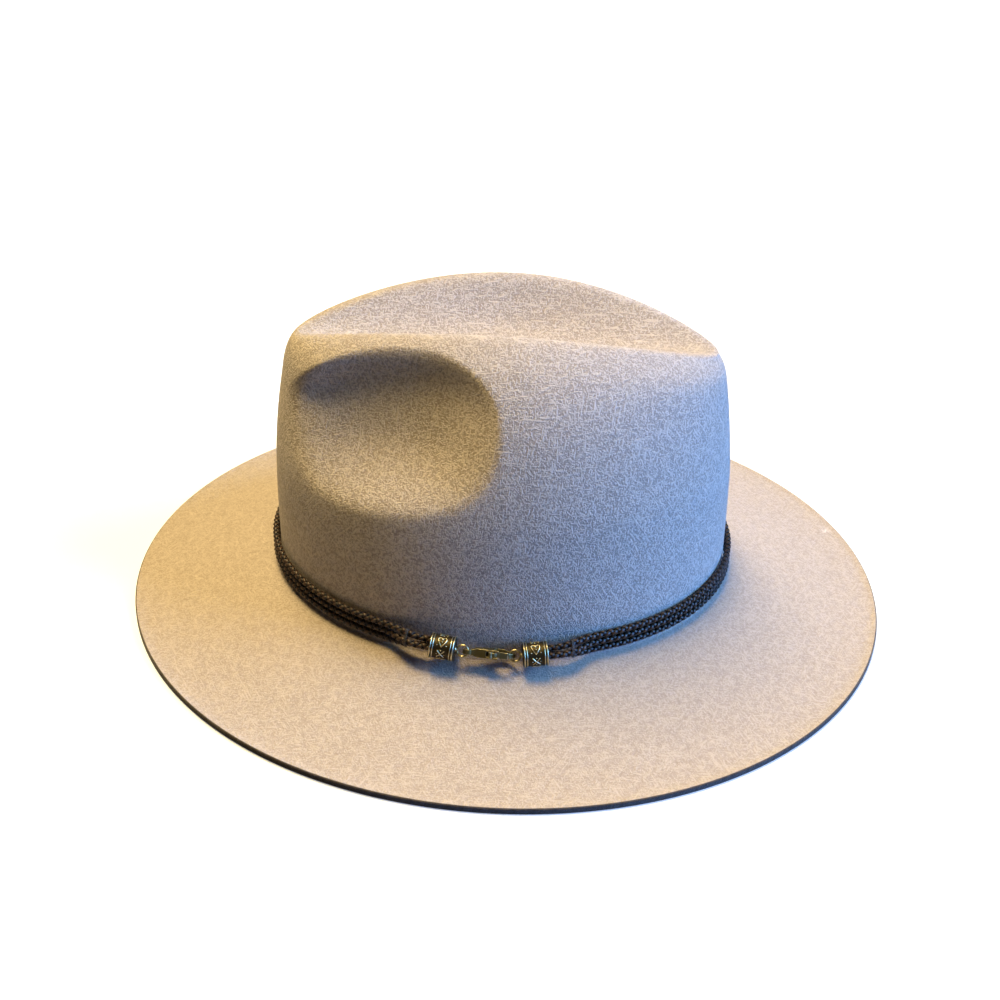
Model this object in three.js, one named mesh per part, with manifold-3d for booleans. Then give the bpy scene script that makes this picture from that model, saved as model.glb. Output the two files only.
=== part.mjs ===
// A wool felt fedora with a teardrop crown and a hatband of three braided leather cords,
// closed at the wearer's left by two cast end caps and a trigger clasp.
// Millimetres, +Z up. The front of the hat faces -Y and the clasp lies at +X.
// The origin lies under the middle of the brim, on the surface that the hat rests on.

import * as THREE from 'three';
import { mergeVertices } from 'three/addons/utils/BufferGeometryUtils.js';
import Module from 'manifold-3d';

const wasm = await Module();
wasm.setup();

// Driving sizes

const gap = 0.3;                 // clearance between pieces that touch on the real hat
const wallGap = 0.44;            // the same against the crown, whose facets cut its curve short

const feltThickness = 3;
const brimHalfLength = 171.5;    // middle of the hat to the brim's edge, front and back
const brimHalfWidth = 154;
const brimRise = 15.5;           // from the resting edge up to the foot of the crown
const breakRadius = 3.4;         // fillet between brim and crown

const headHalfLength = 101.7;    // outside of the crown wall at the cords
const headHalfWidth = 85.4;
const headShift = -3;            // the crown sits a little forward on the brim

const ridgeHeight = 119.8;       // top of the crown's ridges above the foot of the crown
const ridgeHalfLength = 88;      // the ridges round the centre dent, seen from above
const ridgeHalfWidth = 33;
const ridgeShift = -4;
const ridgeTaper = 0.08;         // narrows the ridges to the front and widens them to the back
const ridgeNip = 0.32;           // narrows them to both ends
const ridgeLean = 1.0;           // the front end of the ridges is higher than the back end
const ridgeDroop = 16.5;         // how far both ends lie below the middle
const dentDepth = 18;            // floor of the centre dent below the ridges

const pinchDepth = 19;           // the hollow on each side of the crown's front
const pinchForward = 50;         // its middle, forward of the hat's middle
const pinchReachFront = 47;
const pinchReachBack = 45;
const pinchDrop = 31;            // its middle, below the ridge
const pinchReachUp = 29;
const pinchReachDown = 28;
const pinchSquareness = 2.5;     // 2 is an oval, more is squarer
const pinchSoftBelow = 1.8;      // how gently the hollow runs out, below and above its middle
const pinchSoftAbove = 1.1;

const cordDiameter = 3.1;
const cordHeight = 6.9;          // middle cord's centre above the foot of the crown
const cordGather = 20;           // length over which the cords draw together to a cap
const cordStraight = 2;          // straight run of each cord out of a cap's mouth
const cordDetour = 2.4;          // how far the middle cord swings out there, in cord pitches
const cordInCap = 6;             // length of cord held in a cap

const capRadius = 5.2;           // over the rings
const capLength = 10.5;
const capWall = 1.0;
const capRingHeight = 0.4;
const capTurn = 8;               // degrees each cap turns to follow the crown
const capLift = 4;               // degrees each cap rises from its eye to its mouth
const capFloor = 1.6;            // thickness of its closed end
const reliefHeight = 0.35;
const reliefSunk = 0.5;          // how deep a motif's foot reaches into the barrel
const motifPairs = 3;            // hearts and crosses, alternating round the barrel
const motifStart = 30;           // degrees from the eye's axis up to the first heart
const motifSize = 3.7;
const crossSize = 4.0;
const crossBar = 0.5;            // width of a cross's bars

const eyeRadius = 2.3;           // to the middle of the wire
const eyeWire = 0.5;             // wire radius
const eyeNeck = 0.85;            // radius of the neck between the eye and the cap
const eyeReach = 3.0;            // middle of the eye beyond the cap's closed end

const claspHalfLength = 10.7;    // middle of the clasp to the middle of each eye
const claspForward = 6.7;        // middle of the clasp, forward of the hat's middle
const claspTilt = 2.7;           // degrees: the back end hangs lower
const claspRoll = 30;            // degrees: the eyes look up and outward
const claspWidth = 7.6;
const claspThickness = 3.6;
const claspEndThickness = 2.0;   // where it passes through the eyes
const claspTailRim = 1.1;
const claspTailHole = 1.15;      // radius
const claspClawRim = 1.3;
const claspClawSide = 1.5;       // metal beside the claw's window
const claspBelly = 0.4;          // where it is widest: share of the way from middle to claw
const claspTaper = 2.3;          // length over which its thickness falls to either end
const claspTailOpen = 55;        // degrees either side of the axis where the tail's round stops
const claspNeck = 0.85;          // how much narrower the outline gets behind the tail
const claspNeckReach = 1.35;     // how far the tail's and the shoulders' curves reach
const claspShoulderReach = 3.0;
const leverInset = 0.4;          // the lever's back lies below the clasp's widest line
const leverThickness = 1.1;
const leverWidth = 2.6;
const leverRootWidth = 1.5;
const leverPinRadius = 0.5;
const leverPivotAlong = 2.2;     // pivot, from the middle of the clasp towards the claw
const leverEyeWall = 0.65;
const knobRadius = 0.8;
const knobBack = 1.6;            // the knob lies behind the pivot

const feltSides = 60;            // facets round the hat
const cordWallSteps = 52;        // along the crown, from one gathering to the other
const cordGatherSteps = 4;

// Sections of the felt, from the brim's edge to the middle of the dent

// out: share of the brim's width beyond the crown, rise: share of the brim's rise
const brimSection = [
  { out: 1.00, rise: 0.00 },
  { out: 0.93, rise: 0.00 },
  { out: 0.75, rise: 0.14 },
  { out: 0.50, rise: 0.40 },
  { out: 0.25, rise: 0.69 },
];

// up: share of the crown's height; front, side, back: share of the way in to the ridge
const wallSection = [
  { up: 0.12, front: 0.00, side: 0.01, back: 0.02 },
  { up: 0.30, front: 0.00, side: 0.06, back: 0.07 },
  { up: 0.50, front: 0.04, side: 0.15, back: 0.15 },
  { up: 0.68, front: 0.17, side: 0.30, back: 0.31 },
  { up: 0.82, front: 0.34, side: 0.48, back: 0.47 },
  { up: 0.92, front: 0.49, side: 0.68, back: 0.62 },
  { up: 0.98, front: 0.72, side: 0.88, back: 0.84 },
  { up: 1.00, front: 1.00, side: 1.00, back: 1.00 },
];

// out: share of the ridge outline; front, side, back: share of the climb from floor to ridge
const dentSection = [
  { out: 0.86, front: 0.84, side: 0.92, back: 0.84 },
  { out: 0.66, front: 0.52, side: 0.60, back: 0.52 },
  { out: 0.42, front: 0.20, side: 0.25, back: 0.20 },
  { out: 0.20, front: 0.04, side: 0.06, back: 0.04 },
];

const foot = feltThickness + brimRise;
const radians = (degrees) => (degrees * Math.PI) / 180;
const mix = (a, b, share) => a + (b - a) * share;
const smooth = (share) => {
  const s = Math.min(Math.max(share, 0), 1);
  return s * s * (3 - 2 * s);
};

// Felt surface

// The angle runs round the hat from the front (-Y) over the wearer's left (+X).
const onOval = (angle, halfWidth, halfLength, shift) =>
  new THREE.Vector2(halfWidth * Math.sin(angle), shift - halfLength * Math.cos(angle));

const brimOutline = (angle) => onOval(angle, brimHalfWidth, brimHalfLength, 0);
const headOutline = (angle) => onOval(angle, headHalfWidth, headHalfLength, headShift);

function ridgeOutline(angle) {
  const c = Math.cos(angle);
  const width = ridgeHalfWidth * (1 - ridgeTaper * c - ridgeNip * c * c);
  return onOval(angle, width, ridgeHalfLength, ridgeShift);
}

function ridgeLevel(angle) {
  const c = Math.cos(angle);
  return foot + ridgeHeight + ridgeLean * c - ridgeDroop * c * c;
}

// A row's value at an angle: its front, side and back columns blended round the hat.
function around(row, angle) {
  const c = Math.cos(angle);
  const end = c > 0 ? row.front : row.back;
  return mix(row.side, end, c * c);
}

// The points that the felt's section passes through at one angle, from the edge inward.
function sectionPoints(angle) {
  const brim = brimOutline(angle);
  const head = headOutline(angle);
  const ridge = ridgeOutline(angle);
  const ridgeZ = ridgeLevel(angle);
  const floorZ = foot + ridgeHeight - dentDepth;
  const middle = new THREE.Vector2(0, ridgeShift);
  const points = [];
  const add = (plan, z) => points.push(new THREE.Vector3(plan.x, plan.y, z));

  for (const row of brimSection) {
    add(head.clone().lerp(brim, row.out), feltThickness + brimRise * row.rise);
  }
  const brimWidth = brim.distanceTo(head);
  const slope = brimRise / brimWidth;
  const corner = breakRadius * (1 - Math.SQRT1_2);
  add(head.clone().lerp(brim, breakRadius / brimWidth), foot - breakRadius * slope);
  add(head.clone().lerp(brim, corner / brimWidth), foot + corner - breakRadius * slope / 2);
  add(head, foot + breakRadius);
  for (const row of wallSection) {
    add(head.clone().lerp(ridge, around(row, angle)), mix(foot, ridgeZ, row.up));
  }
  for (const row of dentSection) {
    add(middle.clone().lerp(ridge, row.out), mix(floorZ, ridgeZ, around(row, angle)));
  }
  add(middle, floorZ);
  return points;
}

const sectionCount = sectionPoints(0).length;
const restingRow = 1;            // the brim lies flat as far in as this row
const breakRow = brimSection.length + 2;
const ridgeRow = breakRow + wallSection.length;

// How far the felt is pushed in at a point: a smooth bump with a reach of its own each way.
function pinch(point, ridgeZ) {
  const along = point.y + pinchForward;
  const above = point.z - ridgeZ + pinchDrop;
  const across = Math.abs(point.x);
  const reachAlong = along < 0 ? pinchReachFront : pinchReachBack;
  const reachAbove = above > 0 ? pinchReachUp : pinchReachDown;
  const distance = Math.abs(along / reachAlong) ** pinchSquareness
    + Math.abs(above / reachAbove) ** pinchSquareness;
  if (distance >= 1) return 0;
  const nose = smooth(across / (2 * pinchDepth));
  const softness = mix(pinchSoftBelow, pinchSoftAbove, smooth(0.5 + above / pinchReachUp));
  return pinchDepth * nose * (1 - distance) ** softness;
}

// A point of the felt's outer face: angle round the hat, row along its section.
function feltPoint(angle, row) {
  const curve = new THREE.CatmullRomCurve3(sectionPoints(angle), false, 'catmullrom', 0.5);
  const point = curve.getPoint(THREE.MathUtils.clamp(row / (sectionCount - 1), 0, 1));
  if (row < ridgeRow) point.x -= Math.sign(point.x) * pinch(point, ridgeLevel(angle));
  return point;
}

function feltNormal(angle, row) {
  const step = 0.02;
  const along = feltPoint(angle, row + step).sub(feltPoint(angle, row - step));
  const round = feltPoint(angle + step, row).sub(feltPoint(angle - step, row));
  return round.cross(along).normalize();
}

// Rows at which the felt is cut into facets: finer on the crown than on the brim.
function facetRows() {
  const rows = [];
  for (let row = 0; row < sectionCount - 1; row += 1) {
    rows.push(row);
    const upOnWall = row > breakRow + 1 && row < ridgeRow - 2;
    if (upOnWall) rows.push(row + 0.5);
  }
  return rows;
}

function feltBody() {
  const rows = facetRows();
  const positions = [];
  const push = (point) => positions.push(point.x, point.y, point.z);
  const outerPole = feltPoint(0, sectionCount - 1);
  const up = new THREE.Vector3(0, 0, 1);
  const inner = [];
  for (const row of rows) {
    for (let side = 0; side < feltSides; side += 1) {
      const angle = (2 * Math.PI * side) / feltSides;
      const outside = feltPoint(angle, row);
      const normal = row <= restingRow ? up : feltNormal(angle, row);
      push(outside);
      inner.push(outside.clone().addScaledVector(normal, -feltThickness));
    }
  }
  const skin = rows.length * feltSides;
  push(outerPole);
  inner.forEach(push);
  push(outerPole.clone().addScaledVector(up, -feltThickness));

  const index = [];
  const next = (side) => (side + 1) % feltSides;
  for (let side = 0; side < feltSides; side += 1) {
    for (let ring = 0; ring < rows.length - 1; ring += 1) {
      const a = ring * feltSides + side;
      const b = ring * feltSides + next(side);
      const c = b + feltSides;
      const d = a + feltSides;
      index.push(a, b, c, a, c, d);
      const shift = skin + 1;
      index.push(a + shift, c + shift, b + shift, a + shift, d + shift, c + shift);
    }
    const last = (rows.length - 1) * feltSides;
    index.push(last + side, last + next(side), skin);
    const shift = skin + 1;
    index.push(last + side + shift, skin + shift, last + next(side) + shift);
    index.push(side, side + shift, next(side) + shift, side, next(side) + shift, next(side));
  }
  const geometry = new THREE.BufferGeometry();
  geometry.setAttribute('position', new THREE.Float32BufferAttribute(positions, 3));
  geometry.setIndex(index);
  return geometry;
}

// Solids joined and cut

function solid(geometry) {
  const bare = geometry.index ? geometry.clone() : geometry;
  bare.deleteAttribute('normal');
  bare.deleteAttribute('uv');
  const merged = mergeVertices(bare, 1e-4);
  const vertProperties = new Float32Array(merged.attributes.position.array);
  const triVerts = new Uint32Array(merged.index.array);
  return new wasm.Manifold(new wasm.Mesh({ numProp: 3, vertProperties, triVerts }));
}

function meshOf(shape) {
  const { vertProperties, triVerts } = shape.getMesh();
  const geometry = new THREE.BufferGeometry();
  geometry.setAttribute('position', new THREE.BufferAttribute(new Float32Array(vertProperties), 3));
  geometry.setIndex(new THREE.BufferAttribute(new Uint32Array(triVerts), 1));
  geometry.computeVertexNormals();
  return geometry;
}

// A plate with its thickness centred on the plane of the outline.
function plate(outline, thickness, curveSegments = 6) {
  const settings = { depth: thickness, bevelEnabled: false, curveSegments };
  return new THREE.ExtrudeGeometry(outline, settings).translate(0, 0, -thickness / 2);
}

function disc(x, y, radius, thickness, sides = 14) {
  return new THREE.CylinderGeometry(radius, radius, thickness, sides)
    .rotateX(Math.PI / 2)
    .translate(x, y, 0);
}

const box = (x0, x1, y0, y1, thickness) =>
  new THREE.BoxGeometry(x1 - x0, y1 - y0, thickness).translate((x0 + x1) / 2, (y0 + y1) / 2, 0);

// Frame of the clasp: x along the band to the back, y outward, z the clasp's thickness

// The crown wall's outer face at an angle and a height, with its outward direction.
function wallAt(angle, height) {
  let low = breakRow;
  let high = ridgeRow - 1;
  for (let pass = 0; pass < 24; pass += 1) {
    const row = (low + high) / 2;
    if (feltPoint(angle, row).z < height) low = row;
    else high = row;
  }
  return { point: feltPoint(angle, low), normal: feltNormal(angle, low) };
}

const bandLevel = foot + cordHeight;
const claspAngle = Math.acos((headShift + claspForward) / headHalfLength);
const seat = wallAt(claspAngle, bandLevel);
const outward = new THREE.Vector3(seat.normal.x, seat.normal.y, 0).normalize();
const backward = new THREE.Vector3(0, 0, 1).cross(outward);
const upward = new THREE.Vector3(0, 0, 1);

// The caps touch the crown where its curve stands out most against their turned axes.
const sag = (distance) => (distance * distance * headHalfWidth) / (2 * headHalfLength ** 2);
const turned = Math.sin(radians(capTurn));
const nearEnd = eyeReach * turned - sag(claspHalfLength + eyeReach);
const farEnd = (eyeReach + capLength) * turned - sag(claspHalfLength + eyeReach + capLength);
const standOff = capRadius + wallGap + Math.max(nearEnd, farEnd);

function claspFrame() {
  const tilt = radians(claspTilt);
  const roll = radians(claspRoll);
  const along = backward.clone().multiplyScalar(Math.cos(tilt))
    .addScaledVector(upward, -Math.sin(tilt));
  const rise = outward.clone().cross(along);
  const out = outward.clone().multiplyScalar(Math.cos(roll)).addScaledVector(rise, Math.sin(roll));
  const across = along.clone().cross(out);
  const origin = seat.point.clone().addScaledVector(outward, standOff);
  return new THREE.Matrix4().makeBasis(along, out, across).setPosition(origin);
}

const claspPlace = claspFrame();

// Frame of a cap: its eye's middle at the origin, x along the cap from eye to mouth,
// y through the eye, so that the eye's wire lies in the xz plane.
function capFrame(end) {
  const eye = new THREE.Vector3(end * claspHalfLength, 0, 0).applyMatrix4(claspPlace);
  const away = backward.clone().multiplyScalar(end)
    .addScaledVector(outward, -Math.tan(radians(capTurn)))
    .addScaledVector(upward, Math.tan(radians(capLift)))
    .normalize();
  const out = new THREE.Vector3().setFromMatrixColumn(claspPlace, 1);
  out.addScaledVector(away, -out.dot(away)).normalize();
  const across = away.clone().cross(out);
  return new THREE.Matrix4().makeBasis(away, out, across).setPosition(eye);
}

// End caps

// One end of the cap's outside, from its end face inward; the other end mirrors it.
// along: share of the cap's length, out: share of the ring's height above the barrel
const capRings = [
  { along: 0.000, out: -1.0 },
  { along: 0.025, out: 0.0 },
  { along: 0.042, out: 1.0 },
  { along: 0.091, out: 1.0 },
  { along: 0.116, out: 0.0 },
  { along: 0.133, out: 1.0 },
  { along: 0.158, out: 1.0 },
  { along: 0.175, out: 0.0 },
];

// A cup turned about its axis, closed at the eye's end and open at the cords' end
function capCup() {
  const barrel = capRadius - capRingHeight;
  const bore = barrel - capWall;
  const radiusAt = (row) => barrel + capRingHeight * row.out;
  const eyeEnd = capRings.map((row) => [radiusAt(row), capLength * row.along]);
  const mouthEnd = capRings.map((row) => [radiusAt(row), capLength * (1 - row.along)]);
  const profile = [
    [0, 0], ...eyeEnd, ...mouthEnd.toReversed(), [bore, capLength], [bore, capFloor], [0, capFloor],
  ];
  const points = profile.map(([radius, along]) => new THREE.Vector2(radius, along));
  return new THREE.LatheGeometry(points, 16)
    .rotateZ(-Math.PI / 2)
    .translate(eyeReach, 0, 0);
}

// A heart, its point down, drawn as shares of its size
function heartOutline(size) {
  const heart = new THREE.Shape();
  heart.moveTo(0, -0.5 * size);
  heart.bezierCurveTo(0.3 * size, -0.2 * size, 0.7 * size, 0.5 * size, 0.28 * size, 0.5 * size);
  heart.bezierCurveTo(0.1 * size, 0.5 * size, 0, 0.4 * size, 0, 0.3 * size);
  heart.bezierCurveTo(0, 0.4 * size, -0.1 * size, 0.5 * size, -0.28 * size, 0.5 * size);
  heart.bezierCurveTo(-0.7 * size, 0.5 * size, -0.3 * size, -0.2 * size, 0, -0.5 * size);
  return heart;
}

// Hearts and crosses, raised round the barrel to an even height, the hearts upright
function capRelief(end) {
  const barrel = capRadius - capRingHeight;
  const depth = reliefSunk + 2 * reliefHeight;
  const middle = eyeReach + capLength / 2;
  const bar = () => new THREE.BoxGeometry(crossSize, crossBar, depth);
  const top = barrel + reliefHeight;
  const reach = new THREE.CylinderGeometry(top, top, capLength, 20)
    .rotateZ(Math.PI / 2)
    .translate(middle, 0, 0);
  let relief = null;
  for (let place = 0; place < 2 * motifPairs; place += 1) {
    const turn = -end * (radians(motifStart) + (Math.PI * place) / motifPairs);
    const motifs = place % 2 === 0
      ? [plate(heartOutline(motifSize), depth, 2).rotateZ(end > 0 ? 0 : Math.PI)]
      : [bar().rotateZ(Math.PI / 4), bar().rotateZ(-Math.PI / 4)];
    for (const motif of motifs) {
      motif.translate(0, 0, barrel - reliefSunk + depth / 2)
        .rotateX(-Math.PI / 2 + turn)
        .translate(middle, 0, 0);
      relief = relief ? relief.add(solid(motif)) : solid(motif);
    }
  }
  return relief.intersect(solid(reach));
}

function endCap(end) {
  const ring = new THREE.TorusGeometry(eyeRadius, eyeWire, 6, 14).rotateX(Math.PI / 2);
  const neckLength = eyeReach - eyeRadius + capWall;
  const neck = new THREE.CylinderGeometry(eyeNeck, eyeNeck, neckLength, 8)
    .rotateZ(Math.PI / 2)
    .translate(eyeRadius + neckLength / 2, 0, 0);
  const shape = solid(capCup()).add(capRelief(end)).add(solid(ring)).add(solid(neck));
  return meshOf(shape).applyMatrix4(capFrame(end));
}

// Cords

// Where the three cords lie in a cap: one outward, the others towards the crown.
const pitch = cordDiameter + gap;
const bundle = pitch / Math.sqrt(3);
const bandCords = [
  { name: 'cord_upper', level: 1, inCap: 120 },
  { name: 'cord_middle', level: 0, inCap: 0 },
  { name: 'cord_lower', level: -1, inCap: 240 },
];

// A curve whose steps fall on its own points, which lie closer where the cords gather.
class CordRoute extends THREE.CatmullRomCurve3 {
  getUtoTmapping(share) {
    return share;
  }
}

// A cap's mouth: its middle, the directions of its cords, and the crown's angle beside it
function capMouth(end) {
  const frame = capFrame(end);
  const point = new THREE.Vector3(eyeReach + capLength, 0, 0).applyMatrix4(frame);
  const away = new THREE.Vector3().setFromMatrixColumn(frame, 0);
  const out = upward.clone().cross(away).multiplyScalar(-end).normalize();
  const rise = out.clone().cross(away).multiplyScalar(end).normalize();
  return { end, point, away, out, rise, angle: Math.acos((headShift - point.y) / headHalfLength) };
}

// A point in line with a cap, at a distance beyond its mouth. Bundled, the cords lie as in
// the cap; unbundled, the middle one has gone out of the way of the other two.
function inLine(cord, mouth, distance, bundled) {
  const angle = radians(cord.inCap);
  const outShare = cord.level === 0 ? mix(cordDetour, 1, bundled) : bundled;
  return mouth.point.clone()
    .addScaledVector(mouth.away, distance)
    .addScaledVector(mouth.out, bundle * Math.cos(angle) * outShare)
    .addScaledVector(mouth.rise, mix(cord.level * pitch, bundle * Math.sin(angle), bundled));
}

function onWall(cord, angle) {
  const place = wallAt(angle, bandLevel + cord.level * pitch);
  const out = place.normal.setZ(0).normalize();
  return place.point.addScaledVector(out, cordDiameter / 2 + wallGap);
}

// From inside a cap to where the cord lies on the crown
function cordEnd(cord, mouth) {
  const points = [inLine(cord, mouth, -cordInCap, 1), inLine(cord, mouth, 0, 1)];
  points.push(inLine(cord, mouth, cordStraight, 1));
  for (let step = 1; step <= cordGatherSteps; step += 1) {
    const distance = mix(cordStraight, cordGather, step / cordGatherSteps);
    const bundled = 1 - smooth(step / cordGatherSteps);
    const wall = onWall(cord, mouth.angle + (mouth.end * distance) / headHalfLength);
    const reach = wall.clone().sub(mouth.point).dot(mouth.away);
    points.push(wall.lerp(inLine(cord, mouth, reach, bundled), bundled));
  }
  return points;
}

function cordRoute(cord) {
  const front = capMouth(-1);
  const back = capMouth(1);
  const gathered = cordGather / headHalfLength;
  const start = front.angle - gathered;
  const finish = back.angle + gathered - 2 * Math.PI;
  const wall = [];
  for (let step = 1; step < cordWallSteps; step += 1) {
    wall.push(onWall(cord, mix(start, finish, step / cordWallSteps)));
  }
  return new CordRoute([...cordEnd(cord, front), ...wall, ...cordEnd(cord, back).toReversed()]);
}

function cordTube(cord) {
  const section = new THREE.Shape();
  const sides = 8;
  for (let side = 0; side < sides; side += 1) {
    const angle = (2 * Math.PI * side) / sides;
    const x = (cordDiameter / 2) * Math.cos(angle);
    const y = (cordDiameter / 2) * Math.sin(angle);
    if (side === 0) section.moveTo(x, y);
    else section.lineTo(x, y);
  }
  const route = cordRoute(cord);
  const steps = route.points.length - 1;
  return new THREE.ExtrudeGeometry(section, { steps, bevelEnabled: false, extrudePath: route });
}

// Clasp, in its own frame: x from tail to claw, y to the lever's side, z its thickness

const tailAlong = -(claspHalfLength - eyeRadius);
const clawEnd = claspHalfLength + eyeWire / 2;
const bellyAlong = claspBelly * clawEnd;
const eyeInside = claspHalfLength - eyeRadius - eyeWire;
const leverTip = eyeInside - gap / 3;
const leverOuter = claspWidth / 2 - leverInset;
const leverPivotOut = leverOuter - leverThickness;
const leverEye = leverPinRadius + gap + leverEyeWall;

function claspOutline() {
  const tail = claspTailHole + claspTailRim;
  const half = claspWidth / 2;
  const start = radians(claspTailOpen);
  const outline = new THREE.Shape();
  outline.absarc(tailAlong, 0, tail, start, 2 * Math.PI - start, false);
  const neckOut = tail * Math.sin(start) * claspNeck;
  const neck = tailAlong + tail + claspNeckReach;
  const shoulder = bellyAlong - claspShoulderReach;
  outline.bezierCurveTo(neck, -neckOut, shoulder, -half, bellyAlong, -half);
  outline.absellipse(bellyAlong, 0, clawEnd - bellyAlong, half, -Math.PI / 2, Math.PI / 2);
  const entryAlong = tailAlong + tail * Math.cos(start);
  outline.bezierCurveTo(shoulder, half, neck, neckOut, entryAlong, tail * Math.sin(start));
  return outline;
}

// The clasp seen from its edge: full thickness in the middle, thin at both ends.
function claspEdge() {
  const half = claspThickness / 2;
  const end = claspEndThickness / 2;
  const far = claspHalfLength + 4;
  const tailShoulder = tailAlong + claspTailHole;
  const clawShoulder = eyeInside + eyeWire;
  const edge = new THREE.Shape();
  edge.moveTo(-far, -end);
  edge.lineTo(tailShoulder, -end);
  edge.lineTo(tailShoulder + claspTaper, -half);
  edge.lineTo(clawShoulder - claspTaper, -half);
  edge.lineTo(clawShoulder, -end);
  edge.lineTo(far, -end);
  edge.lineTo(far, end);
  edge.lineTo(clawShoulder, end);
  edge.lineTo(clawShoulder - claspTaper, half);
  edge.lineTo(tailShoulder + claspTaper, half);
  edge.lineTo(tailShoulder, end);
  edge.lineTo(-far, end);
  edge.closePath();
  return plate(edge, 3 * claspWidth).rotateX(Math.PI / 2);
}

// The window that the eye hangs in, from the lever's pivot to the rim of the claw
function clawWindow() {
  const half = claspWidth / 2 - claspClawSide;
  const start = leverPivotAlong;
  const end = clawEnd - claspClawRim;
  const hole = new THREE.Shape();
  hole.moveTo(start, -half * 0.5);
  hole.quadraticCurveTo(start, -half, start + half * 0.6, -half);
  hole.lineTo(end - half, -half);
  hole.quadraticCurveTo(end, -half, end, 0);
  hole.quadraticCurveTo(end, half, end - half * 0.8, half);
  hole.lineTo(start, half);
  return plate(hole, 2 * claspThickness, 4);
}

function claspBody() {
  const slotStart = leverPivotAlong - knobBack - knobRadius - 3 * gap;
  const slotBottom = leverPivotOut - leverEye - gap;
  const slotWidth = leverRootWidth + 2 * gap;
  const mouthStart = leverPivotAlong + leverEye + gap;
  const mouthBottom = leverPivotOut - leverThickness / 2;
  const high = 2 * claspWidth;
  const pin = disc(leverPivotAlong, leverPivotOut, leverPinRadius, claspThickness - gap, 10);
  const shape = solid(plate(claspOutline(), 2 * claspThickness, 8))
    .intersect(solid(claspEdge()))
    .subtract(solid(disc(tailAlong, 0, claspTailHole, 2 * claspThickness)))
    .subtract(solid(clawWindow()))
    .subtract(solid(box(slotStart, leverTip + gap, slotBottom, high, slotWidth)))
    .subtract(solid(box(mouthStart, leverTip + gap, mouthBottom, high, 2 * claspThickness)))
    .add(solid(pin));
  return meshOf(shape).applyMatrix4(claspPlace);
}

function claspLever() {
  const armStart = leverPivotAlong + leverEye + 2 * gap;
  const rootEnd = armStart + leverRootWidth / 2;
  const arm = box(armStart, leverTip, leverPivotOut, leverOuter, leverWidth);
  const root = box(leverPivotAlong, rootEnd, leverPivotOut, leverOuter, leverRootWidth);
  const eye = disc(leverPivotAlong, leverPivotOut, leverEye, leverRootWidth);
  const stemAlong = leverPivotAlong - knobBack;
  const knobOut = claspWidth / 2 + knobRadius + gap;
  const stem = box(
    stemAlong - knobRadius / 2, leverPivotAlong, leverPivotOut, leverOuter, leverRootWidth);
  const post = box(
    stemAlong - knobRadius / 2, stemAlong + knobRadius / 2, leverPivotOut, knobOut, leverRootWidth);
  const knob = disc(stemAlong, knobOut, knobRadius, leverWidth, 10);
  const hole = disc(leverPivotAlong, leverPivotOut, leverPinRadius + gap, 2 * claspThickness, 10);
  const shape = solid(arm)
    .add(solid(root))
    .add(solid(eye))
    .add(solid(stem))
    .add(solid(post))
    .add(solid(knob))
    .subtract(solid(hole));
  return meshOf(shape).applyMatrix4(claspPlace);
}

// Materials and the finished object

const felt = { color: 0xb9ab9c, roughness: 0.95, metalness: 0 };
const leather = { color: 0x2a1d16, roughness: 0.45, metalness: 0 };
const brass = { color: 0x8a7443, roughness: 0.35, metalness: 1 };

const hat = new THREE.Group();

function addPiece(name, geometry, look) {
  const piece = new THREE.Mesh(geometry, new THREE.MeshStandardMaterial(look));
  piece.name = name;
  hat.add(piece);
}

addPiece('felt_body', feltBody(), felt);
for (const cord of bandCords) addPiece(cord.name, cordTube(cord), leather);
addPiece('cap_front', endCap(-1), brass);
addPiece('cap_back', endCap(1), brass);
addPiece('clasp_body', claspBody(), brass);
addPiece('clasp_lever', claspLever(), brass);

export default hat;
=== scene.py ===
# %% [markdown]
# # A wool felt fedora with a braided cord band
#
# The real hat is one blank of wool felt, steamed over a wooden block. The blocker turns the
# brim down to a flat cut edge, presses a long dent into the top of the crown and pinches its
# front with two fingers. Three braided leather cords lie round the foot of the crown and run
# into two cast caps, which a small trigger clasp holds together.
#
# A hat could be sculpted by hand or boxed out with a subdivision cage. Here it is worked out:
# every surface is a function of two parameters, computed with numpy as one array, so a size
# that changes moves everything that belongs to it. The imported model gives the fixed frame.

# %% Load the frame
import math

import bpy
import numpy as np
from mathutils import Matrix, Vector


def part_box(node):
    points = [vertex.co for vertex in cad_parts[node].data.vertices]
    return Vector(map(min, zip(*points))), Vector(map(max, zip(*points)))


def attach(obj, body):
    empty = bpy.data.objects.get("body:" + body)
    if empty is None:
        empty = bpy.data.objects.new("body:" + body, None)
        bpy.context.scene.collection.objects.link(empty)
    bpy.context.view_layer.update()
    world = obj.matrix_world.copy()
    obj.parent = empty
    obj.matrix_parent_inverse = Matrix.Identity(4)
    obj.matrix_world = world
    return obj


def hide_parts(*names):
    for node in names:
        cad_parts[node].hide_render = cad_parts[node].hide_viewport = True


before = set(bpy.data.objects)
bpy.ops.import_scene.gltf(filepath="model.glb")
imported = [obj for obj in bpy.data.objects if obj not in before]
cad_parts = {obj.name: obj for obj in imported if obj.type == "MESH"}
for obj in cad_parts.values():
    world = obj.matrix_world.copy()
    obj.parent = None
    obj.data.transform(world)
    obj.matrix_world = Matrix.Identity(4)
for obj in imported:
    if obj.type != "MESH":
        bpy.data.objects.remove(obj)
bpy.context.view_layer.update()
MM = 0.001  # the shapes are worked out in millimetres, and meshes hold metres
print("nodes:", sorted(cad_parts))

# %% [markdown]
# ## The camera
#
# The picture was taken from the wearer's left and from above, with the camera turned a little
# so that the hat's front rises. A camera could be aimed by hand until it fits. Its angles,
# distance and focal length were worked out instead from the hat's ovals, so they are given
# here as numbers and turned into a matrix: right, up and back are its three columns.

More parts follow.
